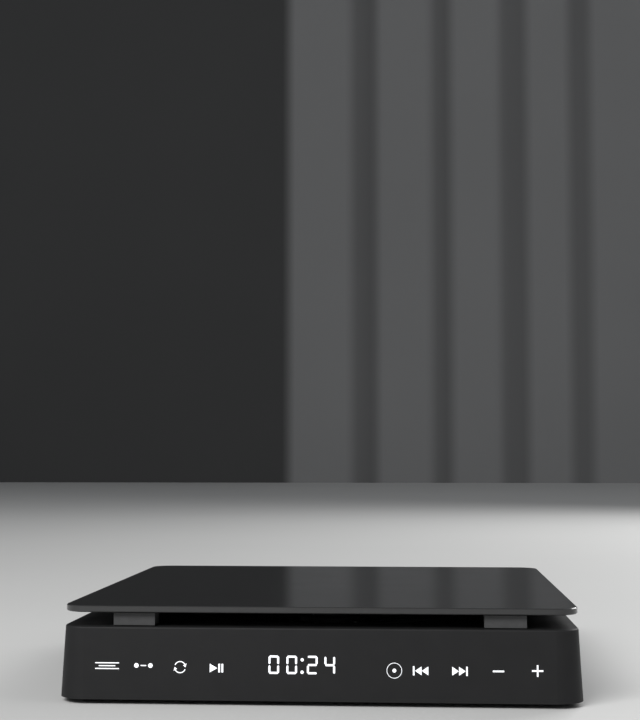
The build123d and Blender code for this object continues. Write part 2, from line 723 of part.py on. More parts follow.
# Lid hinges: on each side a two-eared bracket on the deck, a pin, and a leaf screwed under the lid
ear_in = KNUCKLE_L / 2 + SIDE_PLAY
ear_out = ear_in + EAR_T
foot_front = HINGE_Y - BRACKET_D
foot_back = HINGE_Y - EAR_R - BRACKET_BACK_GAP
for side, sx in (("left", -1), ("right", 1)):
    x = sx * HINGE_X
    with BuildPart() as hinge_bracket:
        for ear_x in (x - ear_out, x + ear_in):
            with BuildSketch(Plane.YZ.offset(ear_x)):
                with BuildLine():
                    Polyline(
                        (foot_front, DECK_Z),
                        (HINGE_Y + EAR_R, DECK_Z),
                        (HINGE_Y + EAR_R, HINGE_Z),
                        (HINGE_Y - EAR_R, HINGE_Z),
                        (foot_back - BRACKET_WEB, DECK_Z + BRACKET_T),
                        (foot_front, DECK_Z + BRACKET_T),
                        close=True,
                    )
                make_face()
                with Locations((HINGE_Y, HINGE_Z)):
                    Circle(EAR_R)
                    Circle(HINGE_PIN_R + PRESS_FIT, mode=Mode.SUBTRACT)
            extrude(amount=EAR_T)
        with BuildSketch(level(DECK_Z, x, (foot_front + foot_back) / 2)):
            Rectangle(2 * ear_out, foot_back - foot_front)
        extrude(amount=BRACKET_T)
        holes(level(DECK_Z), hinge_screws_at, HINGE_SCREW_R + SCREW_FIT, BRACKET_T)
    hinge_bracket.part.label = f"hinge_bracket_{side}"
    export_step(hinge_bracket.part, f"parts/hinge_bracket_{side}.step")

    with BuildPart() as hinge_leaf:
        with BuildSketch(Plane.YZ.offset(x - KNUCKLE_L / 2)):
            with Locations((HINGE_Y, HINGE_Z)):
                Circle(KNUCKLE_R)
            with Locations((HINGE_Y - LEAF_D / 2, LID_Z - LEAF_T / 2)):
                Rectangle(LEAF_D, LEAF_T)
            with Locations((HINGE_Y, HINGE_Z)):
                Circle(HINGE_PIN_R + RUN_FIT, mode=Mode.SUBTRACT)
        extrude(amount=KNUCKLE_L)
        with BuildSketch(level(LID_Z, x, (HINGE_Y - LEAF_D + foot_back) / 2)):
            Rectangle(2 * ear_out, foot_back - HINGE_Y + LEAF_D)
        extrude(amount=-LEAF_T)
        holes(level(LID_Z), leaf_screws_at, HINGE_SCREW_R + SCREW_FIT, -LEAF_T)
    hinge_leaf.part.label = f"hinge_leaf_{side}"
    export_step(hinge_leaf.part, f"parts/hinge_leaf_{side}.step")

with BuildPart() as hinge_pins:
    for x in (-HINGE_X, HINGE_X):
        with BuildSketch(Plane.YZ.offset(x - ear_out)):
            with Locations((HINGE_Y, HINGE_Z)):
                Circle(HINGE_PIN_R)
        extrude(amount=2 * ear_out)
hinge_pins.part.label = "hinge_pins"
export_step(hinge_pins.part, "parts/hinge_pins.step")

with BuildPart() as hinge_screws:
    seat = level(DECK_Z + BRACKET_T)
    screws(seat, hinge_screws_at, HINGE_HEAD_R, HINGE_HEAD_T, HINGE_SCREW_R, BRACKET_T + DECK_T, -1)
hinge_screws.part.label = "hinge_screws"
export_step(hinge_screws.part, "parts/hinge_screws.step")

with BuildPart() as lid_screws:
    screws(level(LID_Z - LEAF_T), leaf_screws_at, HINGE_HEAD_R, HINGE_HEAD_T, HINGE_SCREW_R, leaf_screw_l)
lid_screws.part.label = "lid_screws"
export_step(lid_screws.part, "parts/lid_screws.step")

# Front display: a leaning board behind the front wall with the clock, touch keys and remote window
board_face = FRONT_WALL.offset(-DISPLAY_GAP)
with BuildPart() as display_board:
    with BuildSketch(board_face):
        with Locations((0, DISPLAY_BOARD_UP)):
            Rectangle(BODY_TOP_W - 2 * DISPLAY_BOARD_SIDE, DISPLAY_BOARD_H)
        with Locations(*display_screws_at):
            Circle(BOARD_SCREW_R + SCREW_FIT, mode=Mode.SUBTRACT)
    extrude(amount=-BOARD_T)
display_board.part.label = "display_board"
export_step(display_board.part, "parts/display_board.step")

with BuildPart() as led_display:
    with BuildSketch(board_face):
        with Locations((DISPLAY_X, DISPLAY_Z - KEY_Z)):
            Rectangle(DISPLAY_W, DISPLAY_H)
    extrude(amount=DISPLAY_GAP - DISPLAY_FIT)
led_display.part.label = "led_display"
export_step(led_display.part, "parts/led_display.step")

with BuildPart() as touch_pads:
    with BuildSketch(board_face):
        with Locations(*key_places):
            Circle(KEY_R)
    extrude(amount=DISPLAY_GAP - DISPLAY_FIT)
touch_pads.part.label = "touch_pads"
export_step(touch_pads.part, "parts/touch_pads.step")

with BuildPart() as ir_receiver:
    with BuildSketch(board_face):
        with Locations((ir_x, IR_Z - KEY_Z)):
            Rectangle(IR_W, IR_H)
    extrude(amount=DISPLAY_GAP / 2)
    with BuildSketch(board_face):
        with Locations((ir_x, IR_Z - KEY_Z)):
            Circle(IR_W / 2 - IR_DOME_IN)
    extrude(amount=DISPLAY_GAP - DISPLAY_FIT)
ir_receiver.part.label = "ir_receiver"
export_step(ir_receiver.part, "parts/ir_receiver.step")

# Main board with its chips
with BuildPart() as main_board:
    with BuildSketch(level(BOARD_Z)):
        with Locations(board_mid):
            Rectangle(BOARD_X1 - BOARD_X0, BOARD_D)
        with Locations(*board_screws_at):
            Circle(BOARD_SCREW_R + SCREW_FIT, mode=Mode.SUBTRACT)
    extrude(amount=BOARD_T)
main_board.part.label = "main_board"
export_step(main_board.part, "parts/main_board.step")

with BuildPart() as board_screws:
    seat = level(BOARD_TOP)
    screws(seat, board_screws_at, BOARD_HEAD_R, BOARD_HEAD_T, BOARD_SCREW_R, BOARD_TOP - PLATE_TOP, -1)
    seat = board_face.offset(-BOARD_T)
    screws(seat, display_screws_at, BOARD_HEAD_R, BOARD_HEAD_T, BOARD_SCREW_R, BOARD_SCREW_L)
board_screws.part.label = "board_screws"
export_step(board_screws.part, "parts/board_screws.step")

sink_z = BOARD_TOP + CHIP_T
chip_at = (board_mid[0] + CHIP_AT[0], board_mid[1] + CHIP_AT[1])
fin_pitch = (SINK_SIZE - SINK_FIN_T) / (SINK_FINS - 1)
with BuildPart() as heat_sink:
    with BuildSketch(level(sink_z, *chip_at)):
        Rectangle(SINK_SIZE, SINK_SIZE)
    extrude(amount=SINK_BASE)
    with BuildSketch(level(sink_z + SINK_BASE, *chip_at)):
        with GridLocations(fin_pitch, 0, SINK_FINS, 1):
            Rectangle(SINK_FIN_T, SINK_SIZE)
    extrude(amount=SINK_H - SINK_BASE)
heat_sink.part.label = "heat_sink"
export_step(heat_sink.part, "parts/heat_sink.step")

with BuildPart() as board_chips:
    for x, y, w, d, h in ((*CHIP_AT, CHIP_SIZE, CHIP_SIZE, CHIP_T), *SMALL_CHIPS):
        with BuildSketch(level(BOARD_TOP, *board_mid)):
            with Locations((x, y)):
                Rectangle(w, d)
        extrude(amount=h)
board_chips.part.label = "board_chips"
export_step(board_chips.part, "parts/board_chips.step")

with BuildPart() as capacitors:
    with BuildSketch(level(BOARD_TOP, *board_mid)):
        with Locations(*CAPS_AT):
            Circle(CAP_R)
    extrude(amount=CAP_H)
    fillet(capacitors.faces().sort_by(Axis.Z)[-len(CAPS_AT):].edges(), CAP_ROUND)
capacitors.part.label = "capacitors"
export_step(capacitors.part, "parts/capacitors.step")

# Rear sockets, standing on the rear edge of the main board
hdmi_y = wall_y(hdmi_z) - SOCKET_RECESS
with BuildPart() as hdmi_socket:
    with BuildSketch(rear_plane(hdmi_y)) as hdmi_outline:
        with Locations((HDMI_X, hdmi_z)):
            Rectangle(HDMI_W, HDMI_H)
        chamfer(hdmi_outline.vertices().group_by(Axis.Z)[0], HDMI_H / 4)
    extrude(amount=HDMI_D)
    with BuildSketch(rear_plane(hdmi_y)) as hdmi_mouth:
        with Locations((HDMI_X, hdmi_z)):
            Rectangle(HDMI_IN_W, HDMI_IN_H)
        chamfer(hdmi_mouth.vertices().group_by(Axis.Z)[0], HDMI_H / 4)
    extrude(amount=HDMI_D - 2 * SOCKET_SHELL, mode=Mode.SUBTRACT)
hdmi_socket.part.label = "hdmi_socket"
export_step(hdmi_socket.part, "parts/hdmi_socket.step")

usb_y = wall_y(usb_z) - SOCKET_RECESS
with BuildPart() as usb_socket:
    with BuildSketch(rear_plane(usb_y)):
        with Locations((USB_X, usb_z)):
            Rectangle(USB_W, USB_H)
    extrude(amount=USB_D)
    with BuildSketch(rear_plane(usb_y)):
        with Locations((USB_X, usb_z)):
            Rectangle(USB_IN_W, USB_IN_H)
    extrude(amount=USB_D - 2 * SOCKET_SHELL, mode=Mode.SUBTRACT)
usb_socket.part.label = "usb_socket"
export_step(usb_socket.part, "parts/usb_socket.step")

dc_y = wall_y(dc_z) - SOCKET_RECESS
with BuildPart() as dc_jack:
    with BuildSketch(rear_plane(dc_y)):
        with Locations((DC_X, dc_z)):
            Rectangle(DC_W, DC_H)
            Circle(DC_BORE_R, mode=Mode.SUBTRACT)
    extrude(amount=DC_D - DC_BACK)
    with BuildSketch(rear_plane(dc_y - DC_D + DC_BACK)):
        with Locations((DC_X, dc_z)):
            Rectangle(DC_W, DC_H)
    extrude(amount=DC_BACK)
dc_jack.part.label = "dc_jack"
export_step(dc_jack.part, "parts/dc_jack.step")

# Contacts inside the three sockets: two tongues and the centre pin of the power socket, from the closed ends
usb_rise = USB_IN_H / 2 - TONGUE_T / 2 - USB_TONGUE_TOP
with BuildPart() as socket_contacts:
    for x, z, y, w, depth, rise in (
        (HDMI_X, hdmi_z, hdmi_y, HDMI_IN_W - 2 * HDMI_TONGUE_SIDE, HDMI_D, 0.0),
        (USB_X, usb_z, usb_y, USB_IN_W - 2 * USB_TONGUE_SIDE, USB_D, usb_rise),
    ):
        with BuildSketch(rear_plane(y - TONGUE_BACK)):
            with Locations((x, z + rise)):
                Rectangle(w, TONGUE_T)
        extrude(amount=depth - 2 * SOCKET_SHELL - TONGUE_BACK)
    with BuildSketch(rear_plane(dc_y - TONGUE_BACK)):
        with Locations((DC_X, dc_z)):
            Circle(DC_PIN_R)
    extrude(amount=DC_D - DC_BACK - TONGUE_BACK)
socket_contacts.part.label = "socket_contacts"
export_step(socket_contacts.part, "parts/socket_contacts.step")

# Picture and sound jacks: a block behind the bay, three collared sleeves and three coloured inserts
av_face_y = av_floor_y - AV_BAY_FLOOR
av_tip_y = wall_y(AV_AXIS_Z) - SOCKET_RECESS
with BuildPart() as av_jack_block:
    with BuildSketch(rear_plane(av_face_y)):
        with Locations((AV_X, (BOARD_TOP + AV_AXIS_Z + AV_BLOCK_TOP) / 2)):
            Rectangle(av_bay_w - 2 * AV_BAY_SIDE, AV_AXIS_Z + AV_BLOCK_TOP - BOARD_TOP)
    extrude(amount=AV_BLOCK_D)
av_jack_block.part.label = "av_jack_block"
export_step(av_jack_block.part, "parts/av_jack_block.step")

with BuildPart() as av_sleeves:
    with BuildSketch(rear_plane(av_tip_y)):
        with Locations(*av_centres):
            Circle(AV_BARREL_R)
    extrude(amount=av_tip_y - av_face_y)
    with BuildSketch(rear_plane(av_floor_y + AV_COLLAR_OUT)):
        with Locations(*av_centres):
            Circle(AV_BARREL_R + AV_COLLAR)
    extrude(amount=AV_COLLAR_OUT + AV_BAY_FLOOR)
    holes(rear_plane(av_tip_y), av_centres, AV_BARREL_R - AV_WALL, av_tip_y - av_face_y)
av_sleeves.part.label = "av_sleeves"
export_step(av_sleeves.part, "parts/av_sleeves.step")

with BuildPart() as av_inserts:
    with BuildSketch(rear_plane(av_tip_y - AV_INSERT_IN)):
        with Locations(*av_centres):
            Circle(AV_BARREL_R - AV_WALL - PRESS_FIT)
            Circle(AV_PIN_R, mode=Mode.SUBTRACT)
    extrude(amount=av_tip_y - AV_INSERT_IN - av_face_y)
av_inserts.part.label = "av_inserts"
export_step(av_inserts.part, "parts/av_inserts.step")

# Power switch: a slide switch whose knob passes through the rear wall
switch_y = wall_y(BOARD_TOP + SWITCH_H) - WALL - PANEL_LIP_T - CASE_FIT
knob_x = SWITCH_X - KNOB_TRAVEL / 2
knob_slot_d = SWITCH_D / 2
with BuildPart() as power_switch_body:
    with BuildSketch(rear_plane(switch_y)):
        with Locations((SWITCH_X, switch_z)):
            Rectangle(SWITCH_W, SWITCH_H)
    extrude(amount=SWITCH_D)
    with BuildSketch(rear_plane(switch_y)):
        with Locations((SWITCH_X, switch_z)):
            Rectangle(KNOB_W + KNOB_TRAVEL + 2 * CASE_FIT, KNOB_H + 2 * SIDE_PLAY)
    extrude(amount=knob_slot_d, mode=Mode.SUBTRACT)
power_switch_body.part.label = "power_switch_body"
export_step(power_switch_body.part, "parts/power_switch_body.step")

knob_tip_y = wall_y(switch_z) + KNOB_OUT
with BuildPart() as power_switch_knob:
    with BuildSketch(rear_plane(knob_tip_y)):
        with Locations((knob_x, switch_z)):
            Rectangle(KNOB_W, KNOB_H)
    extrude(amount=knob_tip_y - switch_y + knob_slot_d - CASE_FIT)
    fillet(power_switch_knob.faces().sort_by(Axis.Y)[-1].edges(), KNOB_ROUND)
power_switch_knob.part.label = "power_switch_knob"
export_step(power_switch_knob.part, "parts/power_switch_knob.step")

# Disc drive: a tray-like frame on four soft bushes
sled_at = (SLED_GEAR_X, WELL_Y + RACK_Y + GEAR_MODULE * SLED_TEETH / 2)
idler_at = (sled_at[0] - GEAR_MODULE * (SLED_TEETH + PINION_TEETH) / 2, sled_at[1])
motor_at = (idler_at[0] - FINE_MODULE * (WHEEL_TEETH + MOTOR_TEETH) / 2, sled_at[1])
chassis_w = CHASSIS_X1 - CHASSIS_X0
chassis_d = CHASSIS_Y1 - CHASSIS_Y0
inside_rim_w = chassis_w - 2 * CHASSIS_RIM_T
inside_rim_d = chassis_d - 2 * CHASSIS_RIM_T
chassis_mid = ((CHASSIS_X0 + CHASSIS_X1) / 2, WELL_Y + (CHASSIS_Y0 + CHASSIS_Y1) / 2)
ear_places = [(0, WELL_Y - SPINDLE_EAR_Y), (0, WELL_Y + SPINDLE_EAR_Y)]
rod_posts = [
    (x, WELL_Y + y)
    for x in (ROD_X0 + ROD_POST_L / 2, ROD_X1 - ROD_POST_L / 2)
    for y in (MAIN_ROD_Y, SUB_ROD_Y)
]
rod_places = [(WELL_Y + MAIN_ROD_Y, ROD_Z), (WELL_Y + SUB_ROD_Y, ROD_Z)]
with BuildPart() as traverse_chassis:
    with BuildSketch(level(CHASSIS_Z, *chassis_mid)):
        RectangleRounded(chassis_w, chassis_d, CHASSIS_R)
    extrude(amount=CHASSIS_T)
    with BuildSketch(level(CHASSIS_TOP, *chassis_mid)):
        RectangleRounded(chassis_w, chassis_d, CHASSIS_R)
        RectangleRounded(inside_rim_w, inside_rim_d, CHASSIS_R - CHASSIS_RIM_T, mode=Mode.SUBTRACT)
    extrude(amount=CHASSIS_RIM_H)
    with BuildSketch(level(CHASSIS_TOP)):
        with Locations(*rod_posts):
            Rectangle(ROD_POST_L, ROD_POST_W)
    extrude(amount=ROD_Z + ROD_POST_TOP - CHASSIS_TOP)
    with BuildSketch(level(CHASSIS_TOP)):
        with Locations(sled_at, idler_at):
            Circle(GEAR_HUB_R)
    extrude(amount=GEAR_Z - GEAR_PLAY - CHASSIS_TOP)
    holes(Plane.YZ.offset(ROD_X0), rod_places, ROD_R + PRESS_FIT, ROD_X1 - ROD_X0)
    holes(level(CHASSIS_Z), [sled_at, idler_at], AXLE_R + PRESS_FIT, GEAR_Z - CHASSIS_Z)
    holes(level(CHASSIS_Z), [motor_at], MOTOR_SHAFT_R + CASE_FIT, CHASSIS_T)
    holes(level(CHASSIS_Z), bush_places, BUSH_NECK_R + RUN_FIT, CHASSIS_T)
    holes(level(CHASSIS_Z), ear_places, SPINDLE_SCREW_R + SCREW_FIT, CHASSIS_T)
    with BuildSketch(level(CHASSIS_Z, 0, WELL_Y)):
        with Locations(((WINDOW_X0 + WINDOW_X1) / 2, (WINDOW_Y0 + WINDOW_Y1) / 2)):
            RectangleRounded(WINDOW_X1 - WINDOW_X0, WINDOW_Y1 - WINDOW_Y0, WINDOW_R)
    extrude(amount=CHASSIS_T, mode=Mode.SUBTRACT)
traverse_chassis.part.label = "traverse_chassis"
export_step(traverse_chassis.part, "parts/traverse_chassis.step")

bush_top = CHASSIS_TOP + BUSH_TOP
with BuildPart() as damper_bushes:
    with BuildSketch(level(bush_bottom)):
        with Locations(*bush_places):
            Circle(BUSH_R)
    extrude(amount=BUSH_FLANGE)
    with BuildSketch(level(CHASSIS_Z)):
        with Locations(*bush_places):
            Circle(BUSH_NECK_R)
    extrude(amount=CHASSIS_T)
    with BuildSketch(level(CHASSIS_TOP)):
        with Locations(*bush_places):
            Circle(BUSH_R)
    extrude(amount=BUSH_TOP)
    holes(level(bush_bottom), bush_places, MECH_SCREW_R + SCREW_FIT, bush_top - bush_bottom)
damper_bushes.part.label = "damper_bushes"
export_step(damper_bushes.part, "parts/damper_bushes.step")

with BuildPart() as mech_screws:
    shank = bush_top - PLATE_TOP - MECH_SCREW_SHORT
    screws(level(bush_top), bush_places, MECH_HEAD_R, MECH_HEAD_T, MECH_SCREW_R, shank, -1)
    seat = level(CHASSIS_TOP + SPINDLE_BASE_T)
    shank = SPINDLE_BASE_T + CHASSIS_T
    screws(seat, ear_places, SPINDLE_HEAD_R, SPINDLE_HEAD_T, SPINDLE_SCREW_R, shank, -1)
mech_screws.part.label = "mech_screws"
export_step(mech_screws.part, "parts/mech_screws.step")

with BuildPart() as guide_rods:
    with BuildSketch(Plane.YZ.offset(ROD_X0)):
        with Locations(*rod_places):
            Circle(ROD_R)
    extrude(amount=ROD_X1 - ROD_X0)
guide_rods.part.label = "guide_rods"
export_step(guide_rods.part, "parts/guide_rods.step")

# Spindle motor: base plate with bearing and slotted stator, and the rotor cup that runs over it
base_top = CHASSIS_TOP + SPINDLE_BASE_T
bearing_top = ROTOR_TOP_Z - ROTOR_TOP_T - BEARING_GAP
stator_z = base_top + STATOR_RISE
with BuildPart() as spindle_motor_base:
    with BuildSketch(level(CHASSIS_TOP, 0, WELL_Y)):
        Circle(SPINDLE_BASE_R)
        with Locations((0, -SPINDLE_EAR_Y), (0, SPINDLE_EAR_Y)):
            Circle(SPINDLE_EAR_R)
        Rectangle(2 * SPINDLE_EAR_R, 2 * SPINDLE_EAR_Y)
        with Locations((0, -SPINDLE_EAR_Y), (0, SPINDLE_EAR_Y)):
            Circle(SPINDLE_SCREW_R + SCREW_FIT, mode=Mode.SUBTRACT)
    extrude(amount=SPINDLE_BASE_T)
    with BuildSketch(level(base_top, 0, WELL_Y)):
        Circle(BEARING_R)
    extrude(amount=bearing_top - base_top)
    with BuildSketch(level(stator_z, 0, WELL_Y)):
        Circle(STATOR_R)
        with PolarLocations((STATOR_R + BEARING_R) / 2 + STATOR_SLOT_OUT, STATOR_SLOTS):
            Rectangle(STATOR_R - BEARING_R, STATOR_SLOT_W, mode=Mode.SUBTRACT)
    extrude(amount=STATOR_H)
    holes(level(base_top, 0, WELL_Y), [(0, 0)], SHAFT_R + RUN_FIT, bearing_top - base_top)
spindle_motor_base.part.label = "spindle_motor_base"
export_step(spindle_motor_base.part, "parts/spindle_motor_base.step")

with BuildPart() as rotor:
    with BuildSketch(level(ROTOR_TOP_Z - ROTOR_H, 0, WELL_Y)):
        Circle(ROTOR_R)
    extrude(amount=ROTOR_H)
    fillet(rotor.faces().sort_by(Axis.Z)[-1].edges(), ROTOR_ROUND)
    holes(level(ROTOR_TOP_Z - ROTOR_H, 0, WELL_Y), [(0, 0)], ROTOR_R - ROTOR_WALL, ROTOR_H - ROTOR_TOP_T)
    holes(level(ROTOR_TOP_Z, 0, WELL_Y), [(0, 0)], SHAFT_R + PRESS_FIT, -ROTOR_TOP_T)
rotor.part.label = "rotor"
export_step(rotor.part, "parts/rotor.step")

magnet_out = ROTOR_R - ROTOR_WALL - PRESS_FIT
with BuildPart() as rotor_magnet:
    with BuildSketch(level(ROTOR_TOP_Z - ROTOR_H + ROTOR_MAGNET_RISE, 0, WELL_Y)):
        Circle(magnet_out)
        Circle(magnet_out - ROTOR_MAGNET_T, mode=Mode.SUBTRACT)
    extrude(amount=ROTOR_MAGNET_H)
rotor_magnet.part.label = "rotor_magnet"
export_step(rotor_magnet.part, "parts/rotor_magnet.step")

hub_top = DISC_SEAT_Z + HUB_H
shaft_top = hub_top - SHAFT_COVER
with BuildPart() as spindle_shaft:
    with BuildSketch(level(base_top + GEAR_PLAY, 0, WELL_Y)):
        Circle(SHAFT_R)
    extrude(amount=shaft_top - base_top - GEAR_PLAY)
spindle_shaft.part.label = "spindle_shaft"
export_step(spindle_shaft.part, "parts/spindle_shaft.step")

# Turntable: a turned platform and hub with three slots for the sprung claws
hub_r = DISC_BORE_R - HUB_CLEAR
platform_top = DISC_SEAT_Z - SEAT_PAD_T
claw_z = DISC_SEAT_Z + CLAW_RISE + CLAW_SLOT_FIT
claw_angles = {"claw_a": 90, "claw_b": 210, "claw_c": 330}
with BuildPart() as turntable:
    with BuildSketch(Plane(origin=(0, WELL_Y, 0), x_dir=(1, 0, 0), z_dir=(0, -1, 0))):
        with BuildLine():
            Polyline(
                (0, shaft_top + RUN_FIT),
                (SHAFT_R + PRESS_FIT, shaft_top + RUN_FIT),
                (SHAFT_R + PRESS_FIT, ROTOR_TOP_Z),
                (SPINDLE_HUB_R, ROTOR_TOP_Z),
                (SPINDLE_HUB_R, platform_top - TURNTABLE_T),
                (TURNTABLE_R, platform_top - TURNTABLE_T),
                (TURNTABLE_R, platform_top),
                (hub_r, platform_top),
                (hub_r, hub_top - HUB_CHAMFER),
                (hub_r - HUB_CHAMFER, hub_top),
                (0, hub_top),
                close=True,
            )
        make_face()
    revolve(axis=Axis((0, WELL_Y, 0), (0, 0, 1)))
    with BuildSketch(level(claw_z - CLAW_SLOT_FIT, 0, WELL_Y)):
        with PolarLocations(CLAW_IN_R + hub_r / 2 - CLAW_TRAVEL - CLAW_STOP, 3, start_angle=90):
            Rectangle(hub_r, CLAW_W + 2 * CLAW_SLOT_FIT)
    extrude(amount=CLAW_H + 2 * CLAW_SLOT_FIT, mode=Mode.SUBTRACT)
turntable.part.label = "turntable"
export_step(turntable.part, "parts/turntable.step")

with BuildPart() as turntable_pad:
    with BuildSketch(level(platform_top, 0, WELL_Y)):
        Circle(TURNTABLE_R - SEAT_PAD_INSET)
        Circle(SEAT_PAD_IN, mode=Mode.SUBTRACT)
    extrude(amount=SEAT_PAD_T)
turntable_pad.part.label = "turntable_pad"
export_step(turntable_pad.part, "parts/turntable_pad.step")

for name, angle in claw_angles.items():
    out_x = cos(radians(angle))
    out_y = sin(radians(angle))
    with BuildPart() as claw:
        with BuildSketch(Plane(origin=(0, WELL_Y, 0), x_dir=(out_x, out_y, 0), z_dir=(out_y, -out_x, 0))):
            with BuildLine():
                Polyline(
                    (CLAW_IN_R, claw_z),
                    (hub_r - CLAW_NOSE, claw_z),
                    (CLAW_TIP_R + CLAW_NOSE, claw_z + CLAW_TIP_UP),
                    (hub_r - CLAW_NOSE, claw_z + CLAW_H),
                    (CLAW_IN_R, claw_z + CLAW_H),
                    close=True,
                )
            make_face()
        extrude(amount=CLAW_W / 2, both=True)
        with BuildSketch(level(claw_z, 0, WELL_Y)):
            Circle(CLAW_TIP_R)
        extrude(amount=CLAW_H, mode=Mode.INTERSECT)
    claw.part.label = name
    export_step(claw.part, f"parts/{name}.step")

# Pickup sled: a block that rides on the two rods, with a pocket for the lens holder
pickup_x0 = LENS_X0 - PICKUP_BACK
pickup_l = PICKUP_BACK + PICKUP_FRONT
pickup_mid = LENS_X0 + (PICKUP_FRONT - PICKUP_BACK) / 2
holder_l = HOLDER_IN + HOLDER_OUT
holder_mid = LENS_X0 + (HOLDER_OUT - HOLDER_IN) / 2
boss_y = WELL_Y + MAIN_ROD_Y
flange_y = boss_y + ROD_BOSS_R + FLANGE_OVER
fork_y0 = SUB_ROD_Y - FORK_OVER
fork_y1 = FORK_ROOT - PICKUP_BODY_W / 2
with BuildPart() as pickup_body:
    with BuildSketch(level(PICKUP_BOTTOM, pickup_mid, WELL_Y)):
        RectangleRounded(pickup_l, PICKUP_BODY_W, PICKUP_R)
    extrude(amount=PICKUP_TOP - PICKUP_BOTTOM)
    chamfer(pickup_body.faces().sort_by(Axis.Z)[-1].edges(), PICKUP_CHAMFER)
    with BuildSketch(Plane.YZ.offset(pickup_x0)):
        with Locations((boss_y, ROD_Z)):
            Circle(ROD_BOSS_R)
        with Locations(((WELL_Y + PICKUP_BODY_W / 2 + boss_y) / 2, ROD_Z)):
            Rectangle(boss_y - WELL_Y - PICKUP_BODY_W / 2 + BOSS_ROOT, ROD_BOSS_R)
        with Locations((WELL_Y + (fork_y0 + fork_y1) / 2, ROD_Z + FORK_RISE)):
            Rectangle(fork_y1 - fork_y0, FORK_H)
    extrude(amount=pickup_l)
    with BuildSketch(level(GEAR_Z, pickup_mid, (boss_y + flange_y) / 2)):
        Rectangle(pickup_l - FLANGE_SHORT, flange_y - boss_y)
    extrude(amount=GEAR_T)
    holes(Plane.YZ.offset(pickup_x0), [rod_places[0]], ROD_R + RUN_FIT, pickup_l)
    with BuildSketch(Plane.YZ.offset(pickup_x0)):
        with Locations((WELL_Y + (fork_y0 + SUB_ROD_Y + ROD_R + RUN_FIT) / 2, ROD_Z)):
            Rectangle(SUB_ROD_Y + ROD_R + RUN_FIT - fork_y0, 2 * (ROD_R + RUN_FIT))
    extrude(amount=pickup_l, mode=Mode.SUBTRACT)
    with BuildSketch(level(HOLDER_BOTTOM - HOLDER_GAP, holder_mid, WELL_Y)):
        Rectangle(holder_l + 2 * HOLDER_GAP, HOLDER_W + 2 * HOLDER_GAP)
    extrude(amount=PICKUP_TOP, mode=Mode.SUBTRACT)
pickup_body.part.label = "pickup_body"
export_step(pickup_body.part, "parts/pickup_body.step")

with BuildPart() as lens_holder:
    with BuildSketch(level(HOLDER_BOTTOM, holder_mid, WELL_Y)):
        RectangleRounded(holder_l, HOLDER_W, HOLDER_R)
    extrude(amount=HOLDER_TOP - HOLDER_BOTTOM)
    chamfer(lens_holder.faces().sort_by(Axis.Z)[-1].edges(), HOLDER_CHAMFER)
    holes(level(HOLDER_TOP, LENS_X0, WELL_Y), [(0, 0)], LENS_R + RUN_FIT, -LENS_SEAT)
lens_holder.part.label = "lens_holder"
export_step(lens_holder.part, "parts/lens_holder.step")

dome_r = (LENS_R**2 + LENS_DOME**2) / (2 * LENS_DOME)
dome_z = HOLDER_TOP + LENS_DOME - dome_r
half = radians(90) - acos(LENS_R / dome_r)
with BuildPart() as lens:
    with BuildSketch(Plane(origin=(LENS_X0, WELL_Y, 0), x_dir=(1, 0, 0), z_dir=(0, -1, 0))):
        with BuildLine():
            Polyline(
                (0, HOLDER_TOP + LENS_DOME),
                (0, HOLDER_TOP - LENS_SEAT),
                (LENS_R, HOLDER_TOP - LENS_SEAT),
                (LENS_R, HOLDER_TOP),
            )
            ThreePointArc(
                (LENS_R, HOLDER_TOP),
                (dome_r * sin(half / 2), dome_z + dome_r * cos(half / 2)),
                (0, HOLDER_TOP + LENS_DOME),
            )
        make_face()
    revolve(axis=Axis((LENS_X0, WELL_Y, 0), (0, 0, 1)))
lens.part.label = "lens"
export_step(lens.part, "parts/lens.step")


def involute(angle):
    """Involute function of a pressure angle."""
    return tan(angle) - angle


def gear_outline(module, teeth, phase):
    """Points of a spur gear: three on each involute flank, one tooth centred at the phase angle."""
    pressure = radians(PRESSURE)
    pitch_r = module * teeth / 2
    base_r = pitch_r * cos(pressure)
    tip_r = pitch_r + ADDENDUM * module
    root_r = pitch_r - DEDENDUM * module
    half_at_pitch = pi / (2 * teeth) - BACKLASH / (2 * pitch_r)
    flank = []
    for r in (root_r, (max(root_r, base_r) + pitch_r) / 2, pitch_r, (pitch_r + tip_r) / 2, tip_r):
        at_r = acos(min(1.0, base_r / r))
        flank.append((r, half_at_pitch + involute(pressure) - involute(at_r)))
    points = []
    for tooth in range(teeth):
        middle = phase + 2 * pi * tooth / teeth
        points += [(r * cos(middle - a), r * sin(middle - a)) for r, a in flank]
        points += [(r * cos(middle + a), r * sin(middle + a)) for r, a in reversed(flank)]
    return points


# Sled drive: rack on the pickup, large gear, stepped idler and motor pinion
tooth_pitch = pi * GEAR_MODULE
rack_tip = RACK_Y + ADDENDUM * GEAR_MODULE
rack_root = RACK_Y - DEDENDUM * GEAR_MODULE
slope = tan(radians(PRESSURE))
rack_teeth = []
for tooth in range(RACK_TEETH):
    tooth_x = SLED_GEAR_X + (tooth - RACK_TEETH + RACK_TEETH_AHEAD + 0.5) * tooth_pitch
    half_pitch = tooth_pitch / 4 - BACKLASH / 2
    at_root = half_pitch + DEDENDUM * GEAR_MODULE * slope
    at_tip = half_pitch - ADDENDUM * GEAR_MODULE * slope
    rack_teeth += [(tooth_x - at_root, rack_root), (tooth_x - at_tip, rack_tip)]
    rack_teeth += [(tooth_x + at_tip, rack_tip), (tooth_x + at_root, rack_root)]
rack_back = flange_y - WELL_Y
with BuildPart() as pickup_rack:
    with BuildSketch(level(GEAR_Z, 0, WELL_Y)):
        with BuildLine():
            Polyline(*rack_teeth, (rack_teeth[-1][0], rack_back), (rack_teeth[0][0], rack_back), close=True)
        make_face()
    extrude(amount=GEAR_T)
pickup_rack.part.label = "pickup_rack"
export_step(pickup_rack.part, "parts/pickup_rack.step")

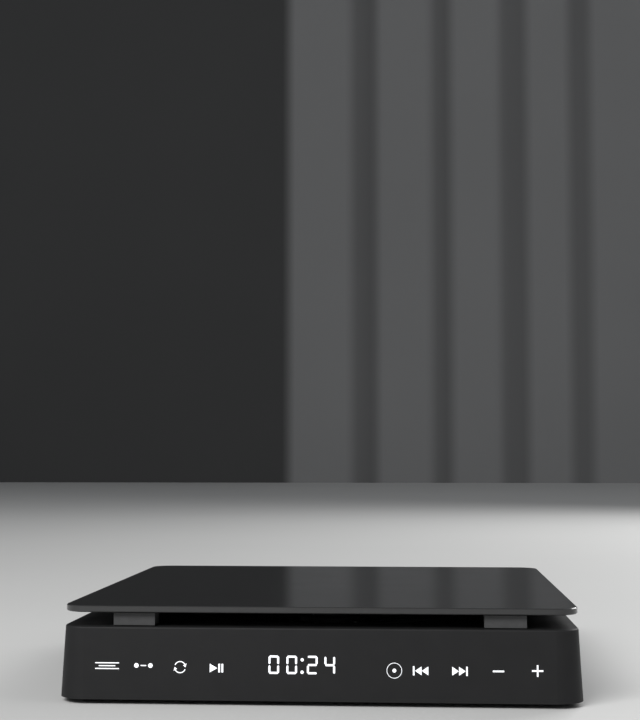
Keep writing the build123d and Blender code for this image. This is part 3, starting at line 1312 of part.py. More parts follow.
with BuildPart() as sled_gear:
    with BuildSketch(level(GEAR_Z, *sled_at)):
        with BuildLine():
            Polyline(*gear_outline(GEAR_MODULE, SLED_TEETH, -pi / 2), close=True)
        make_face()
        with PolarLocations(SLED_HOLE_AT, GEAR_HOLES):
            Circle(SLED_HOLE_R, mode=Mode.SUBTRACT)
    extrude(amount=GEAR_T)
    holes(level(GEAR_Z, *sled_at), [(0, 0)], AXLE_R + RUN_FIT, GEAR_T)
sled_gear.part.label = "sled_gear"
export_step(sled_gear.part, "parts/sled_gear.step")

wheel_z = GEAR_Z + GEAR_T + WHEEL_GAP
with BuildPart() as idler_gear:
    with BuildSketch(level(GEAR_Z, *idler_at)):
        with BuildLine():
            Polyline(*gear_outline(GEAR_MODULE, PINION_TEETH, pi / PINION_TEETH), close=True)
        make_face()
    extrude(amount=wheel_z - GEAR_Z)
    with BuildSketch(level(wheel_z, *idler_at)):
        with BuildLine():
            Polyline(*gear_outline(FINE_MODULE, WHEEL_TEETH, 0), close=True)
        make_face()
        with PolarLocations(WHEEL_HOLE_AT, GEAR_HOLES):
            Circle(WHEEL_HOLE_R, mode=Mode.SUBTRACT)
    extrude(amount=WHEEL_T)
    holes(level(GEAR_Z, *idler_at), [(0, 0)], AXLE_R + RUN_FIT, wheel_z + WHEEL_T - GEAR_Z)
idler_gear.part.label = "idler_gear"
export_step(idler_gear.part, "parts/idler_gear.step")

with BuildPart() as gear_axles:
    for place, top in ((sled_at, GEAR_Z + GEAR_T), (idler_at, wheel_z + WHEEL_T)):
        with BuildSketch(level(CHASSIS_Z, *place)):
            Circle(AXLE_R)
        extrude(amount=top + GEAR_PLAY - CHASSIS_Z)
        with BuildSketch(level(top + GEAR_PLAY, *place)):
            Circle(AXLE_HEAD_R)
        extrude(amount=AXLE_HEAD_T)
gear_axles.part.label = "gear_axles"
export_step(gear_axles.part, "parts/gear_axles.step")

with BuildPart() as sled_motor:
    with BuildSketch(level(CHASSIS_Z, *motor_at)):
        Circle(MOTOR_R)
    extrude(amount=-MOTOR_H)
    fillet(sled_motor.faces().sort_by(Axis.Z)[0].edges(), MOTOR_ROUND)
    holes(level(CHASSIS_Z, *motor_at), [(0, 0)], MOTOR_SHAFT_R + RUN_FIT, MOTOR_SHAFT_END - MOTOR_H)
sled_motor.part.label = "sled_motor"
export_step(sled_motor.part, "parts/sled_motor.step")

pinion_z = wheel_z + WHEEL_T / 2 - MOTOR_PINION_T / 2
with BuildPart() as motor_pinion:
    with BuildSketch(level(pinion_z, *motor_at)):
        with BuildLine():
            Polyline(*gear_outline(FINE_MODULE, MOTOR_TEETH, pi / MOTOR_TEETH), close=True)
        make_face()
        Circle(MOTOR_SHAFT_R + PRESS_FIT, mode=Mode.SUBTRACT)
    extrude(amount=MOTOR_PINION_T)
motor_pinion.part.label = "motor_pinion"
export_step(motor_pinion.part, "parts/motor_pinion.step")

motor_shaft_z = CHASSIS_Z - MOTOR_H + MOTOR_SHAFT_END + GEAR_PLAY
with BuildPart() as motor_shaft:
    with BuildSketch(level(motor_shaft_z, *motor_at)):
        Circle(MOTOR_SHAFT_R)
    extrude(amount=pinion_z + MOTOR_PINION_T + MOTOR_SHAFT_OVER - motor_shaft_z)
motor_shaft.part.label = "motor_shaft"
export_step(motor_shaft.part, "parts/motor_shaft.step")
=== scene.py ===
"""Looks of the top-loading disc player: camera, light, finishes and the small pieces that the solids lack."""
import json
import math
import random
from collections import namedtuple

import bmesh
import bpy
from mathutils import Matrix, Vector


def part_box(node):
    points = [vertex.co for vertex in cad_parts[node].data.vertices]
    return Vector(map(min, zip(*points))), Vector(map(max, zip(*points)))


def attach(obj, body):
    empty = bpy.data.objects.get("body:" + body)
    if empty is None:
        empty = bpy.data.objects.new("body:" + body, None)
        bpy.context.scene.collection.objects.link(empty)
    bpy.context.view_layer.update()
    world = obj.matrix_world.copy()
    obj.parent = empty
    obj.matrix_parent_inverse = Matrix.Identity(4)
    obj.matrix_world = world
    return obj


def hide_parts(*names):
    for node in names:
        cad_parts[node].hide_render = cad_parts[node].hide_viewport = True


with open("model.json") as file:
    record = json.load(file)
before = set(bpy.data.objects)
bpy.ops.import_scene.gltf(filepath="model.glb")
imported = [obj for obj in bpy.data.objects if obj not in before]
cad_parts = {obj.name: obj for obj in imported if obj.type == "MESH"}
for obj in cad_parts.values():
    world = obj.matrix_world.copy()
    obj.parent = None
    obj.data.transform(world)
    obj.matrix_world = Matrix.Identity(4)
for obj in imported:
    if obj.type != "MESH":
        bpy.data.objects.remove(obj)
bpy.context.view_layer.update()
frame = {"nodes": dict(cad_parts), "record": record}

MM = 0.001
scene = bpy.context.scene
scene.view_settings.view_transform = "Standard"
rng = random.Random(7)


def low_mm(node):
    """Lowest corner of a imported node, in mm."""
    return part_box(node)[0] / MM


def high_mm(node):
    """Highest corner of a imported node, in mm."""
    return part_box(node)[1] / MM


def middle_mm(node):
    """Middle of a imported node's box, in mm."""
    return (low_mm(node) + high_mm(node)) / 2


# Levels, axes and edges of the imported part, in mm
DECK_Z = high_mm("upper_housing").z
LID_TOP_Z = high_mm("lid_plate").z
PAD_BOTTOM_Z, PAD_TOP_Z = low_mm("lid_pad_left").z, high_mm("lid_pad_left").z
BOARD_Z = high_mm("main_board").z
BOARD_FRONT_Y = low_mm("main_board").y
CAP_TOP_Z = high_mm("capacitors").z
PICKUP_TOP_Z = high_mm("pickup_body").z
LENS_LOW_Z = low_mm("lens").z
SPINDLE_X, SPINDLE_Y, _ = middle_mm("turntable")
LENS_X, LENS_Y, _ = middle_mm("lens")
SWITCH_X = middle_mm("power_switch_body").x
SOCKET_X = {mount["name"]: mount["pos_m"][0] / MM for mount in frame["record"]["mounts"]}

# The outer walls lean in by the moulding draft, from this half depth at the deck
HALF_DEPTH = 107.0
LEAN = math.radians(3.2)

# Depth of the front board's back under the front face, and height of its screws from the deck along the lean
DISPLAY_BACK = 8.6
DISPLAY_SCREW_UP = -9.963

# Places on the main board and in the base
BOARD_SCREWS = [(x, y) for x in (-81, 83) for y in (47, 92)]
CAPACITORS = ((62, 76), (-36, 76), (56, 62), (68, 62))
CRYSTAL_AT = (4.5, 65.5)
COIL_AT = (45, 78)
FOOT_X, FOOT_Y = 80, 84


# Camera, in metres and degrees, fitted to the edges of the plate and the body in the photograph
CAMERA_AT = (0.04004, -0.69546, 0.10205)
CAMERA_TILT = 93.81
CAMERA_TURN = 3.81
FOCAL_MM = 71.4
SENSOR_MM = 36.0
CLIP = (0.01, 60.0)


def make_camera():
    data = bpy.data.cameras.new("camera")
    data.sensor_width = SENSOR_MM
    data.lens = FOCAL_MM
    data.clip_start, data.clip_end = CLIP
    cam = bpy.data.objects.new("camera", data)
    cam.location = CAMERA_AT
    cam.rotation_euler = (math.radians(CAMERA_TILT), 0.0, math.radians(CAMERA_TURN))
    scene.collection.objects.link(cam)
    scene.camera = cam


# Materials
HALF_WAVE = 0.05 * math.pi  # half of one wave of the wave texture at scale 1, in metres


class Finish:
    """A principled material with short calls for its procedural parts, in millimetres."""

    def __init__(self, name, color, rough, **sockets):
        self.mat = bpy.data.materials.new(name)
        self.mat.use_nodes = True
        self.tree = self.mat.node_tree
        self.bsdf = next(n for n in self.tree.nodes if n.type == "BSDF_PRINCIPLED")
        self.color = color
        self.bsdf.inputs["Base Color"].default_value = (*color, 1.0)
        self.bsdf.inputs["Roughness"].default_value = rough
        for key, value in sockets.items():
            self.bsdf.inputs[key.replace("_", " ")].default_value = value
        self.mat.diffuse_color = (*color, 1.0)
        self.normal = None

    def node(self, kind, **values):
        n = self.tree.nodes.new(kind)
        for key, value in values.items():
            setattr(n, key, value)
        return n

    def link(self, a, b):
        self.tree.links.new(a, b)

    def feed(self, socket, value):
        """Links an output to a socket, or sets a colour or a number on it."""
        if hasattr(value, "is_linked"):
            self.link(value, socket)
        elif hasattr(value, "__len__"):
            socket.default_value = (*value, 1.0)
        else:
            socket.default_value = value

    def coords(self, offset=(0, 0, 0), scale=(1, 1, 1), mirrored=False):
        """Place in the object's frame, from an offset in mm, the same on both sides if mirrored."""
        out = self.node("ShaderNodeTexCoord").outputs["Object"]
        if mirrored:
            fold = self.node("ShaderNodeVectorMath", operation="ABSOLUTE")
            self.link(out, fold.inputs[0])
            out = fold.outputs[0]
        mapping = self.node("ShaderNodeMapping")
        mapping.inputs["Location"].default_value = [-c * MM * s for c, s in zip(offset, scale)]
        mapping.inputs["Scale"].default_value = scale
        self.link(out, mapping.inputs["Vector"])
        return mapping.outputs["Vector"]

    def noise(self, size_mm, detail=3.0, distortion=0.0, **where):
        n = self.node("ShaderNodeTexNoise")
        n.inputs["Scale"].default_value = 1.0 / (size_mm * MM)
        n.inputs["Detail"].default_value = detail
        n.inputs["Distortion"].default_value = distortion
        self.link(self.coords(**where), n.inputs["Vector"])
        return n.outputs["Fac"]

    def cells(self, size_mm, randomness=1.0):
        n = self.node("ShaderNodeTexVoronoi")
        n.inputs["Scale"].default_value = 1.0 / (size_mm * MM)
        n.inputs["Randomness"].default_value = randomness
        self.link(self.coords(), n.inputs["Vector"])
        return n.outputs["Distance"]

    def wave(self, band_mm, where, **kind):
        n = self.node("ShaderNodeTexWave", **kind)
        n.inputs["Scale"].default_value = HALF_WAVE / (band_mm * MM)
        self.link(self.coords(**where), n.inputs["Vector"])
        return n.outputs["Fac"]

    def rings(self, band_mm, **where):
        return self.wave(band_mm, where, wave_type="RINGS", rings_direction="Z")

    def stripes(self, band_mm, **where):
        return self.wave(band_mm, where, wave_type="BANDS", bands_direction="Y")

    def ramp(self, fac, stops, constant=False):
        """Colours or levels at the given shares of a factor."""
        n = self.node("ShaderNodeValToRGB")
        n.color_ramp.interpolation = "CONSTANT" if constant else "LINEAR"
        while len(n.color_ramp.elements) < len(stops):
            n.color_ramp.elements.new(0.5)
        for element, (at, value) in zip(n.color_ramp.elements, stops):
            element.position = at
            element.color = (*(value if hasattr(value, "__len__") else grey(value)), 1.0)
        self.link(fac, n.inputs["Fac"])
        return n.outputs["Color"]

    def mix(self, fac, a, b, blend="MIX"):
        n = self.node("ShaderNodeMix", data_type="RGBA", blend_type=blend)
        sockets = [s for s in n.inputs if s.type == "RGBA"]
        factor = next(s for s in n.inputs if s.name == "Factor" and s.type == "VALUE")
        for socket, value in ((factor, fac), (sockets[0], a), (sockets[1], b)):
            self.feed(socket, value)
        return next(s for s in n.outputs if s.type == "RGBA")

    def math(self, operation, *values):
        n = self.node("ShaderNodeMath", operation=operation)
        for socket, value in zip(n.inputs, values):
            self.feed(socket, value)
        return n.outputs[0]

    def axis(self, name):
        n = self.node("ShaderNodeSeparateXYZ")
        self.link(self.coords(), n.inputs[0])
        return n.outputs[name]

    def above(self, height_mm):
        """1 above a height of the whole part, 0 below it."""
        return self.math("GREATER_THAN", self.axis("Z"), height_mm * MM)

    def paint(self, color):
        self.link(color, self.bsdf.inputs["Base Color"])
        return self

    def gloss(self, value):
        self.link(value, self.bsdf.inputs["Roughness"])
        return self

    def bump(self, height, depth_mm, strength=1.0):
        n = self.node("ShaderNodeBump")
        n.inputs["Strength"].default_value = strength
        n.inputs["Distance"].default_value = depth_mm * MM
        self.link(height, n.inputs["Height"])
        if self.normal:
            self.link(self.normal, n.inputs["Normal"])
        self.normal = n.outputs["Normal"]
        self.link(self.normal, self.bsdf.inputs["Normal"])
        return self

    def mottle(self, size_mm, low, high):
        """Base colour varied by slow noise between two shares of itself."""
        stops = [(0.3, [c * low for c in self.color]), (0.7, [c * high for c in self.color])]
        return self.paint(self.ramp(self.noise(size_mm), stops))

    def vary(self, size_mm, low, high):
        """Roughness varied by slow noise between two values."""
        return self.gloss(self.ramp(self.noise(size_mm), [(0.3, low), (0.7, high)]))


def grey(level):
    return (level, level, level)


# Finishes of the casing and the lid
def housing_plastic():
    """Matt black moulding with a fine grain and slow waves in its skin."""
    f = Finish("housing_plastic", (0.0125, 0.0125, 0.013), 0.56, Specular_IOR_Level=0.22)
    f.mottle(9.0, 0.93, 1.07).vary(14.0, 0.52, 0.62)
    return f.bump(f.noise(0.35, detail=2.0), 0.012).bump(f.noise(28.0, detail=1.0), 0.05, 0.4)


def lid_gloss():
    """Polished black face with faint smears and dust, and a satin edge under a darker arris."""
    face = (0.011, 0.011, 0.0115)
    f = Finish("lid_gloss", face, 0.16, Coat_Weight=0.6, Coat_Roughness=0.06)
    top = f.above(LID_TOP_Z - 0.07)
    smear = f.ramp(f.noise(30.0, distortion=0.4), [(0.3, 0.13), (0.75, 0.17)])
    f.gloss(f.mix(top, grey(0.36), smear))
    dust = f.ramp(f.cells(2.4), [(0.0, 1.35), (0.045, 1.0)])
    edge = f.ramp(f.noise(5.0), [(0.3, (0.0143, 0.0143, 0.0148)), (0.7, (0.0166, 0.0166, 0.0171))])
    band = f.mix(f.above(LID_TOP_Z - 0.45), edge, grey(0.014))
    f.paint(f.mix(top, band, f.mix(1.0, face, dust, "MULTIPLY")))
    return f.bump(f.noise(60.0, detail=0.0), 0.02, 0.2)


def liner_plastic():
    """Coarse-grained plastic under the lid."""
    f = Finish("liner_plastic", grey(0.018), 0.6, Specular_IOR_Level=0.3)
    return f.mottle(6.0, 0.85, 1.15).vary(10.0, 0.52, 0.66).bump(f.cells(0.9), 0.03, 0.8)


def pad_rubber():
    """Grey rubber, with painted shade as dark bands at its top under the lid and at its bottom on the deck.
    """
    f = Finish("pad_rubber", (0.048, 0.048, 0.049), 0.72, Specular_IOR_Level=0.2)
    height = f.axis("Z")
    # Painted shade: the top 0.55 mm under the lid and the bottom 0.4 mm on the deck are painted dark grey
    # 0.014.
    upper = f.math("GREATER_THAN", height, (PAD_TOP_Z - 0.55) * MM)
    lower = f.math("LESS_THAN", height, (PAD_BOTTOM_Z + 0.4) * MM)
    painted_shade_bands = f.math("ADD", upper, lower)
    rubber = f.ramp(f.noise(3.0), [(0.3, (0.062, 0.062, 0.063)), (0.7, (0.07, 0.07, 0.071))])
    f.paint(f.mix(painted_shade_bands, rubber, grey(0.014)))
    return f.vary(4.0, 0.66, 0.78).bump(f.noise(0.25), 0.02)


def foot_rubber():
    """Dull rubber with a ringed tread on each foot."""
    f = Finish("foot_rubber", grey(0.02), 0.8, Specular_IOR_Level=0.25)
    tread = f.rings(1.6, offset=(FOOT_X, FOOT_Y, 0), mirrored=True)
    f.paint(f.ramp(f.noise(2.0), [(0.35, grey(0.017)), (0.75, (0.03, 0.029, 0.028))]))
    return f.vary(3.0, 0.72, 0.86).bump(tread, 0.12, 0.7).bump(f.noise(0.3), 0.02)


def well_plastic():
    """Satin plastic with the faint turned rings of its mould round the spindle."""
    f = Finish("well_plastic", (0.026, 0.026, 0.027), 0.42, Specular_IOR_Level=0.4)
    sweep = f.rings(0.7, offset=(SPINDLE_X, SPINDLE_Y, 0))
    f.mottle(12.0, 0.9, 1.1).vary(16.0, 0.36, 0.48)
    return f.bump(sweep, 0.006, 0.5).bump(f.noise(0.4), 0.012)


# Finishes of the metals
def steel():
    """Bright steel with a fine grain along x."""
    f = Finish("steel", (0.42, 0.42, 0.43), 0.34, Metallic=1.0)
    grain = f.noise(0.4, detail=4.0, scale=(0.04, 1.0, 1.0))
    f.mottle(3.0, 0.94, 1.05).gloss(f.ramp(grain, [(0.3, 0.28), (0.7, 0.38)]))
    return f.bump(grain, 0.0012, 0.5)


def sink_aluminium():
    """Extruded aluminium with its drawing lines along y."""
    f = Finish("sink_aluminium", (0.6, 0.6, 0.61), 0.34, Metallic=1.0)
    grain = f.noise(0.3, detail=4.0, scale=(1.0, 0.03, 1.0))
    f.mottle(6.0, 0.92, 1.05).gloss(f.ramp(grain, [(0.3, 0.26), (0.7, 0.42)]))
    return f.bump(grain, 0.01, 0.7)


def screw_steel():
    """Tumbled, slightly stained screws."""
    f = Finish("screw_steel", (0.3, 0.3, 0.31), 0.34, Metallic=1.0)
    return f.mottle(0.8, 0.75, 1.15).vary(0.5, 0.26, 0.44).bump(f.noise(0.2), 0.006, 0.7)


def connector_steel():
    """Thin tinned sheet with rolling marks."""
    f = Finish("connector_steel", grey(0.52), 0.3, Metallic=1.0)
    f.mottle(1.5, 0.9, 1.05).vary(1.2, 0.25, 0.35)
    return f.bump(f.noise(0.5, scale=(1, 0.15, 1)), 0.0012, 0.5)


def contact_brass():
    f = Finish("contact_brass", (0.7, 0.55, 0.28), 0.22, Metallic=1.0)
    return f.mottle(1.0, 0.84, 1.05).vary(0.8, 0.16, 0.3).bump(f.noise(0.25), 0.004, 0.6)


def magnet_dark():
    """Pressed, grainy ferrite."""
    f = Finish("magnet_dark", (0.08, 0.08, 0.085), 0.46, Metallic=0.85)
    return f.mottle(0.9, 0.75, 1.2).vary(0.7, 0.38, 0.56).bump(f.noise(0.15, detail=4.0), 0.015)


def solder():
    f = Finish("solder", grey(0.62), 0.24, Metallic=1.0)
    return f.mottle(0.5, 0.8, 1.1).vary(0.4, 0.16, 0.34).bump(f.noise(0.3), 0.02, 0.6)


# Finishes of the boards
def board_green():
    """Solder mask over raised tracks, with bare vias."""
    f = Finish("board_green", (0.02, 0.12, 0.05), 0.36, Coat_Weight=0.25, Coat_Roughness=0.2)
    brick = f.node("ShaderNodeTexBrick", offset=0.5, offset_frequency=2, squash=0.6, squash_frequency=3)
    sizes = {"Scale": 1.0, "Mortar Size": 0.22 * MM, "Brick Width": 17 * MM, "Row Height": 1.3 * MM}
    for key, value in sizes.items():
        brick.inputs[key].default_value = value
    brick.inputs["Mortar Smooth"].default_value = 0.2
    f.link(f.coords(), brick.inputs["Vector"])
    where = f.ramp(f.noise(9.0, detail=0.0), [(0.47, 0.0), (0.5, 1.0)])
    track = f.math("MULTIPLY", brick.outputs["Fac"], where)
    vias = f.ramp(f.cells(3.4, randomness=0.8), [(0.0, 1.0), (0.11, 1.0), (0.13, 0.0)])
    mask = f.mix(track, (0.016, 0.1, 0.04), (0.035, 0.19, 0.08))
    f.paint(f.mix(vias, mask, (0.45, 0.34, 0.16)))
    return f.vary(8.0, 0.3, 0.42).bump(track, 0.035, 0.8).bump(vias, 0.02, 0.6)


def chip_black():
    f = Finish("chip_black", grey(0.02), 0.5, Specular_IOR_Level=0.4)
    return f.mottle(1.2, 0.85, 1.2).vary(2.0, 0.44, 0.58).bump(f.noise(0.12, detail=4.0), 0.01)


def cap_sleeve():
    """Shrunk dark sleeve with a bare aluminium top."""
    f = Finish("cap_sleeve", (0.02, 0.025, 0.05), 0.26, Coat_Weight=0.3, Coat_Roughness=0.15)
    can = f.above(CAP_TOP_Z - 0.25)
    sleeve = f.ramp(f.noise(2.0), [(0.3, (0.018, 0.023, 0.047)), (0.7, (0.024, 0.03, 0.058))])
    f.paint(f.mix(can, sleeve, (0.6, 0.6, 0.61)))
    f.link(can, f.bsdf.inputs["Metallic"])
    return f.vary(2.0, 0.22, 0.32).bump(f.noise(3.0, scale=(1, 1, 0.2)), 0.02, 0.5)


def display_black():
    """Smoked window of the clock and of the remote receiver."""
    f = Finish("display_black", grey(0.015), 0.12, Coat_Weight=0.5, Coat_Roughness=0.05)
    return f.mottle(5.0, 0.9, 1.1).vary(8.0, 0.08, 0.18).bump(f.noise(6.0), 0.01, 0.3)


def key_foam():
    """Open-celled foam behind the touch keys."""
    f = Finish("key_foam", grey(0.1), 0.92, Specular_IOR_Level=0.15)
    pores = f.cells(0.55)
    return f.paint(f.ramp(pores, [(0.1, grey(0.035)), (0.6, grey(0.13))])).bump(pores, 0.15)


def chip_ceramic():
    """Small parts, some pale and some black, by where they lie."""
    f = Finish("chip_ceramic", (0.3, 0.25, 0.18), 0.5, Specular_IOR_Level=0.4)
    f.paint(f.ramp(f.cells(2.6), [(0.25, (0.34, 0.26, 0.17)), (0.5, (0.03, 0.03, 0.035))]))
    return f.vary(1.0, 0.36, 0.56).bump(f.noise(0.2), 0.008)


def nylon_white():
    f = Finish("nylon_white", (0.7, 0.68, 0.62), 0.42, Subsurface_Weight=0.05, Subsurface_Scale=0.001)
    return f.mottle(2.0, 0.92, 1.05).vary(2.0, 0.36, 0.5).bump(f.noise(0.4), 0.015)


def film_amber():
    """Printed film with its copper tracks."""
    f = Finish("film_amber", (0.35, 0.13, 0.03), 0.3, Coat_Weight=0.3, Coat_Roughness=0.1)
    f.paint(f.ramp(f.stripes(0.6), [(0.4, (0.32, 0.12, 0.025)), (0.6, (0.5, 0.22, 0.07))]))
    return f.vary(3.0, 0.24, 0.38).bump(f.stripes(0.6), 0.01, 0.5)


# Finishes of the sockets and their signs
def connector_black():
    f = Finish("connector_black", grey(0.02), 0.46, Specular_IOR_Level=0.4)
    return f.mottle(2.0, 0.88, 1.14).vary(3.0, 0.4, 0.54).bump(f.noise(0.2), 0.012)


def jack_colours():
    """Yellow, white and red insides of the three jacks along x, a little soiled."""
    f = Finish("jack_colours", (0.75, 0.55, 0.05), 0.3, Coat_Weight=0.2, Coat_Roughness=0.2)
    along = f.math("MULTIPLY_ADD", f.axis("X"), 10.0, 0.7)
    yellow, white, red = (0.72, 0.5, 0.03), (0.74, 0.73, 0.7), (0.55, 0.02, 0.02)
    hue = f.ramp(along, [(0.0, yellow), (0.17, white), (0.31, red)], constant=True)
    f.paint(f.mix(f.ramp(f.noise(1.0), [(0.3, 0.0), (0.8, 0.12)]), hue, (0.1, 0.08, 0.06)))
    return f.vary(1.5, 0.25, 0.38).bump(f.noise(0.3), 0.008)


def sign_ink():
    """Thin, slightly worn screen print."""
    f = Finish("sign_ink", grey(0.4), 0.62, Specular_IOR_Level=0.3)
    worn = f.ramp(f.noise(0.5, detail=4.0), [(0.28, 0.6), (0.42, 1.0)])
    return f.paint(f.mix(1.0, grey(0.4), worn, "MULTIPLY")).bump(f.noise(0.2), 0.004, 0.5)


# Finishes of the disc drive
def drive_plastic():
    """Glass-filled plastic with its fibres showing."""
    f = Finish("drive_plastic", (0.05, 0.05, 0.055), 0.5, Specular_IOR_Level=0.4)
    fibre = f.noise(0.5, detail=5.0, scale=(1.0, 0.25, 1.0), distortion=2.0)
    f.paint(f.ramp(fibre, [(0.35, (0.042, 0.042, 0.046)), (0.7, (0.066, 0.066, 0.071))]))
    return f.vary(4.0, 0.42, 0.58).bump(fibre, 0.012, 0.7)


def gear_white():
    """Acetal with patches of grease."""
    f = Finish("gear_white", (0.75, 0.74, 0.7), 0.4, Subsurface_Weight=0.08, Subsurface_Scale=0.001)
    grease = f.ramp(f.noise(3.5, detail=2.0), [(0.45, 0.0), (0.72, 0.35)])
    f.paint(f.mix(grease, (0.75, 0.74, 0.7), (0.52, 0.5, 0.44)))
    f.gloss(f.ramp(f.noise(3.5, detail=2.0), [(0.4, 0.42), (0.7, 0.2)]))
    return f.bump(f.noise(0.6), 0.01, 0.5)


def bush_rubber():
    f = Finish("bush_rubber", (0.25, 0.12, 0.1), 0.6, Subsurface_Weight=0.05, Subsurface_Scale=0.001)
    return f.mottle(2.0, 0.9, 1.1).vary(2.0, 0.52, 0.68).bump(f.noise(0.4), 0.02)


def hub_plastic():
    """Turntable plastic with fine turned rings."""
    f = Finish("hub_plastic", (0.045, 0.045, 0.048), 0.36, Specular_IOR_Level=0.45)
    turned = f.rings(0.35, offset=(SPINDLE_X, SPINDLE_Y, 0))
    return f.mottle(3.0, 0.9, 1.12).vary(4.0, 0.3, 0.42).bump(turned, 0.004, 0.6)


def lens_glass():
    """Coated glass, between blue and violet."""
    coat = {"Coat_Weight": 0.5, "Coat_Roughness": 0.02}
    f = Finish("lens_glass", (0.35, 0.45, 0.75), 0.03, Transmission_Weight=0.65, IOR=1.5, **coat)
    f.paint(f.ramp(f.noise(1.2, detail=1.0), [(0.3, (0.22, 0.3, 0.75)), (0.7, (0.45, 0.3, 0.7))]))
    return f.vary(0.8, 0.02, 0.06).bump(f.noise(1.5), 0.002, 0.3)


# Finish of the lit marks
def mark_light():
    """Lit print of the marks on the front."""
    f = Finish("mark_light", (0.85, 0.86, 0.88), 0.4)
    f.bsdf.inputs["Emission Color"].default_value = (0.93, 0.95, 1.0, 1.0)
    f.bsdf.inputs["Emission Strength"].default_value = 0.55
    return f.mottle(0.9, 0.94, 1.04).bump(f.noise(0.3), 0.003, 0.4)


FINISHES = (
    housing_plastic, lid_gloss, liner_plastic, pad_rubber, foot_rubber, well_plastic,
    steel, sink_aluminium, screw_steel, connector_steel, contact_brass, magnet_dark, solder,
    board_green, chip_black, cap_sleeve, display_black, key_foam, chip_ceramic, nylon_white, film_amber,
    connector_black, jack_colours, sign_ink,
    drive_plastic, gear_white, bush_rubber, hub_plastic, lens_glass, mark_light,
)


# Mesh helpers
def add(name, bm, mat, body, smooth=False):
    """Turns a bmesh into a piece that rides on a body."""
    bmesh.ops.recalc_face_normals(bm, faces=bm.faces)
    mesh = bpy.data.meshes.new(name)
    bm.to_mesh(mesh)
    bm.free()
    mesh.materials.append(mat)
    if smooth:
        mesh.shade_smooth()
        mesh.set_sharp_from_angle(angle=math.radians(35))
    piece = bpy.data.objects.new(name, mesh)
    scene.collection.objects.link(piece)
    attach(piece, body)
    return piece


def at(x, y, z):
    """Matrix to a place in mm."""
    return Matrix.Translation(Vector((x, y, z)) * MM)


def turned(degrees, axis):
    return Matrix.Rotation(math.radians(degrees), 4, axis)


def polar(radius, angle):
    return radius * math.cos(angle), radius * math.sin(angle)


def plate(bm, outline, thickness, place, chamfer=0.0):
    """Closed flat outline in mm made into a thin plate with softened edges, set by a matrix."""
    bottom = [bm.verts.new((x * MM, y * MM, 0.0)) for x, y in outline]
    lifted = bmesh.ops.extrude_face_region(bm, geom=[bm.faces.new(bottom)])["geom"]
    top = [v for v in lifted if isinstance(v, bmesh.types.BMVert)]
    bmesh.ops.translate(bm, verts=top, vec=(0, 0, thickness * MM))
    softened = []
    if chamfer:
        edges = [e for e in lifted if isinstance(e, bmesh.types.BMEdge)]
        cut = {"offset": chamfer * MM, "segments": 1, "affect": "EDGES", "clamp_overlap": True}
        softened = bmesh.ops.bevel(bm, geom=edges, **cut)["verts"]
    made = set(bottom) | {v for v in top if v.is_valid} | set(softened)
    bmesh.ops.transform(bm, matrix=place, verts=[v for v in made if v.is_valid])


def arc_band(cx, cy, r_in, r_out, start, end, steps):
    """Outline of a band of a circle between two angles in degrees."""
    angles = [math.radians(start + (end - start) * i / steps) for i in range(steps + 1)]
    outer = [(cx + r_out * math.cos(a), cy + r_out * math.sin(a)) for a in angles]
    return outer + [(cx + r_in * math.cos(a), cy + r_in * math.sin(a)) for a in reversed(angles)]


def ring_halves(cx, cy, r_in, r_out, gap, steps):
    """A ring as two outlines, with a hairline gap in degrees at each end."""
    return [arc_band(cx, cy, r_in, r_out, turn + gap, turn + 180 - gap, steps) for turn in (0, 180)]


def rounded(cx, cy, w, h, r, steps=4):
    """Rounded rectangle outline."""
    pts = []
    for sx, sy, start in ((1, 1, 0), (-1, 1, 90), (-1, -1, 180), (1, -1, 270)):
        for i in range(steps + 1):
            dx, dy = polar(r, math.radians(start + 90 * i / steps))
            pts.append((cx + sx * (w / 2 - r) + dx, cy + sy * (h / 2 - r) + dy))
    return pts


def disc(cx, cy, r, steps=24):
    """Round outline."""
    around = [polar(r, 2 * math.pi * i / steps) for i in range(steps)]
    return [(cx + dx, cy + dy) for dx, dy in around]


def slab(bm, x0, x1, y0, y1, z0, z1, chamfer, place=Matrix.Identity(4)):
    """Upright block with rounded corners and a softened top, in mm."""
    corner = max(min(x1 - x0, y1 - y0) * 0.1, chamfer * 1.25)
    outline = rounded((x0 + x1) / 2, (y0 + y1) / 2, x1 - x0, y1 - y0, corner, 2)
    plate(bm, outline, z1 - z0, place @ at(0, 0, z0), chamfer)


def lathe(bm, profile, place, steps=28):
    """Closed outline of (radius, height) points in mm turned about the z axis of a matrix."""
    rows = []
    for i in range(steps):
        a = 2 * math.pi * i / steps
        ring = [Vector((*polar(r, a), z)) * MM for r, z in profile]
        rows.append([bm.verts.new(place @ point) for point in ring])
    for row, following in zip(rows, rows[1:] + rows[:1]):
        for j in range(len(profile)):
            k = (j + 1) % len(profile)
            bm.faces.new((row[j], following[j], following[k], row[k]))
    bmesh.ops.remove_doubles(bm, verts=[v for row in rows for v in row], dist=1e-7)


def wall_place(proud_mm, side=-1):
    """Matrix to the leaning front (side -1) or rear (side 1): x across, y up from the deck, z outward."""
    up = Vector((0.0, -side * math.sin(LEAN), math.cos(LEAN)))
    out = Vector((0.0, side * math.cos(LEAN), math.sin(LEAN)))
    across = Vector((-side, 0.0, 0.0))
    origin = Vector((0.0, side * HALF_DEPTH * MM, DECK_Z * MM)) + out * proud_mm * MM
    return Matrix.Translation(origin) @ Matrix((across, up, out)).transposed().to_4x4()


def up_the_wall(height):
    """Height above the table made into a distance from the deck along the lean."""
    return (height - DECK_Z) / math.cos(LEAN)


# Lit marks on the front, in mm across and above the table
MARK_T = 0.05
MARK_CHAMFER = 0.015
DIGIT_W = 4.4
DIGIT_LOW, DIGIT_HIGH = 12.95, 20.35
DIGIT_BAR = 0.85
CLOCK = ((-20.2, "abcdef"), (-12.85, "abcdef"), (-4.45, "abged"), (2.7, "fgbc"))
COLON_X = -6.4
COLON_ZS = (18.7, 13.75)
COLON_R = 0.68
SKIP_Z = 14.75


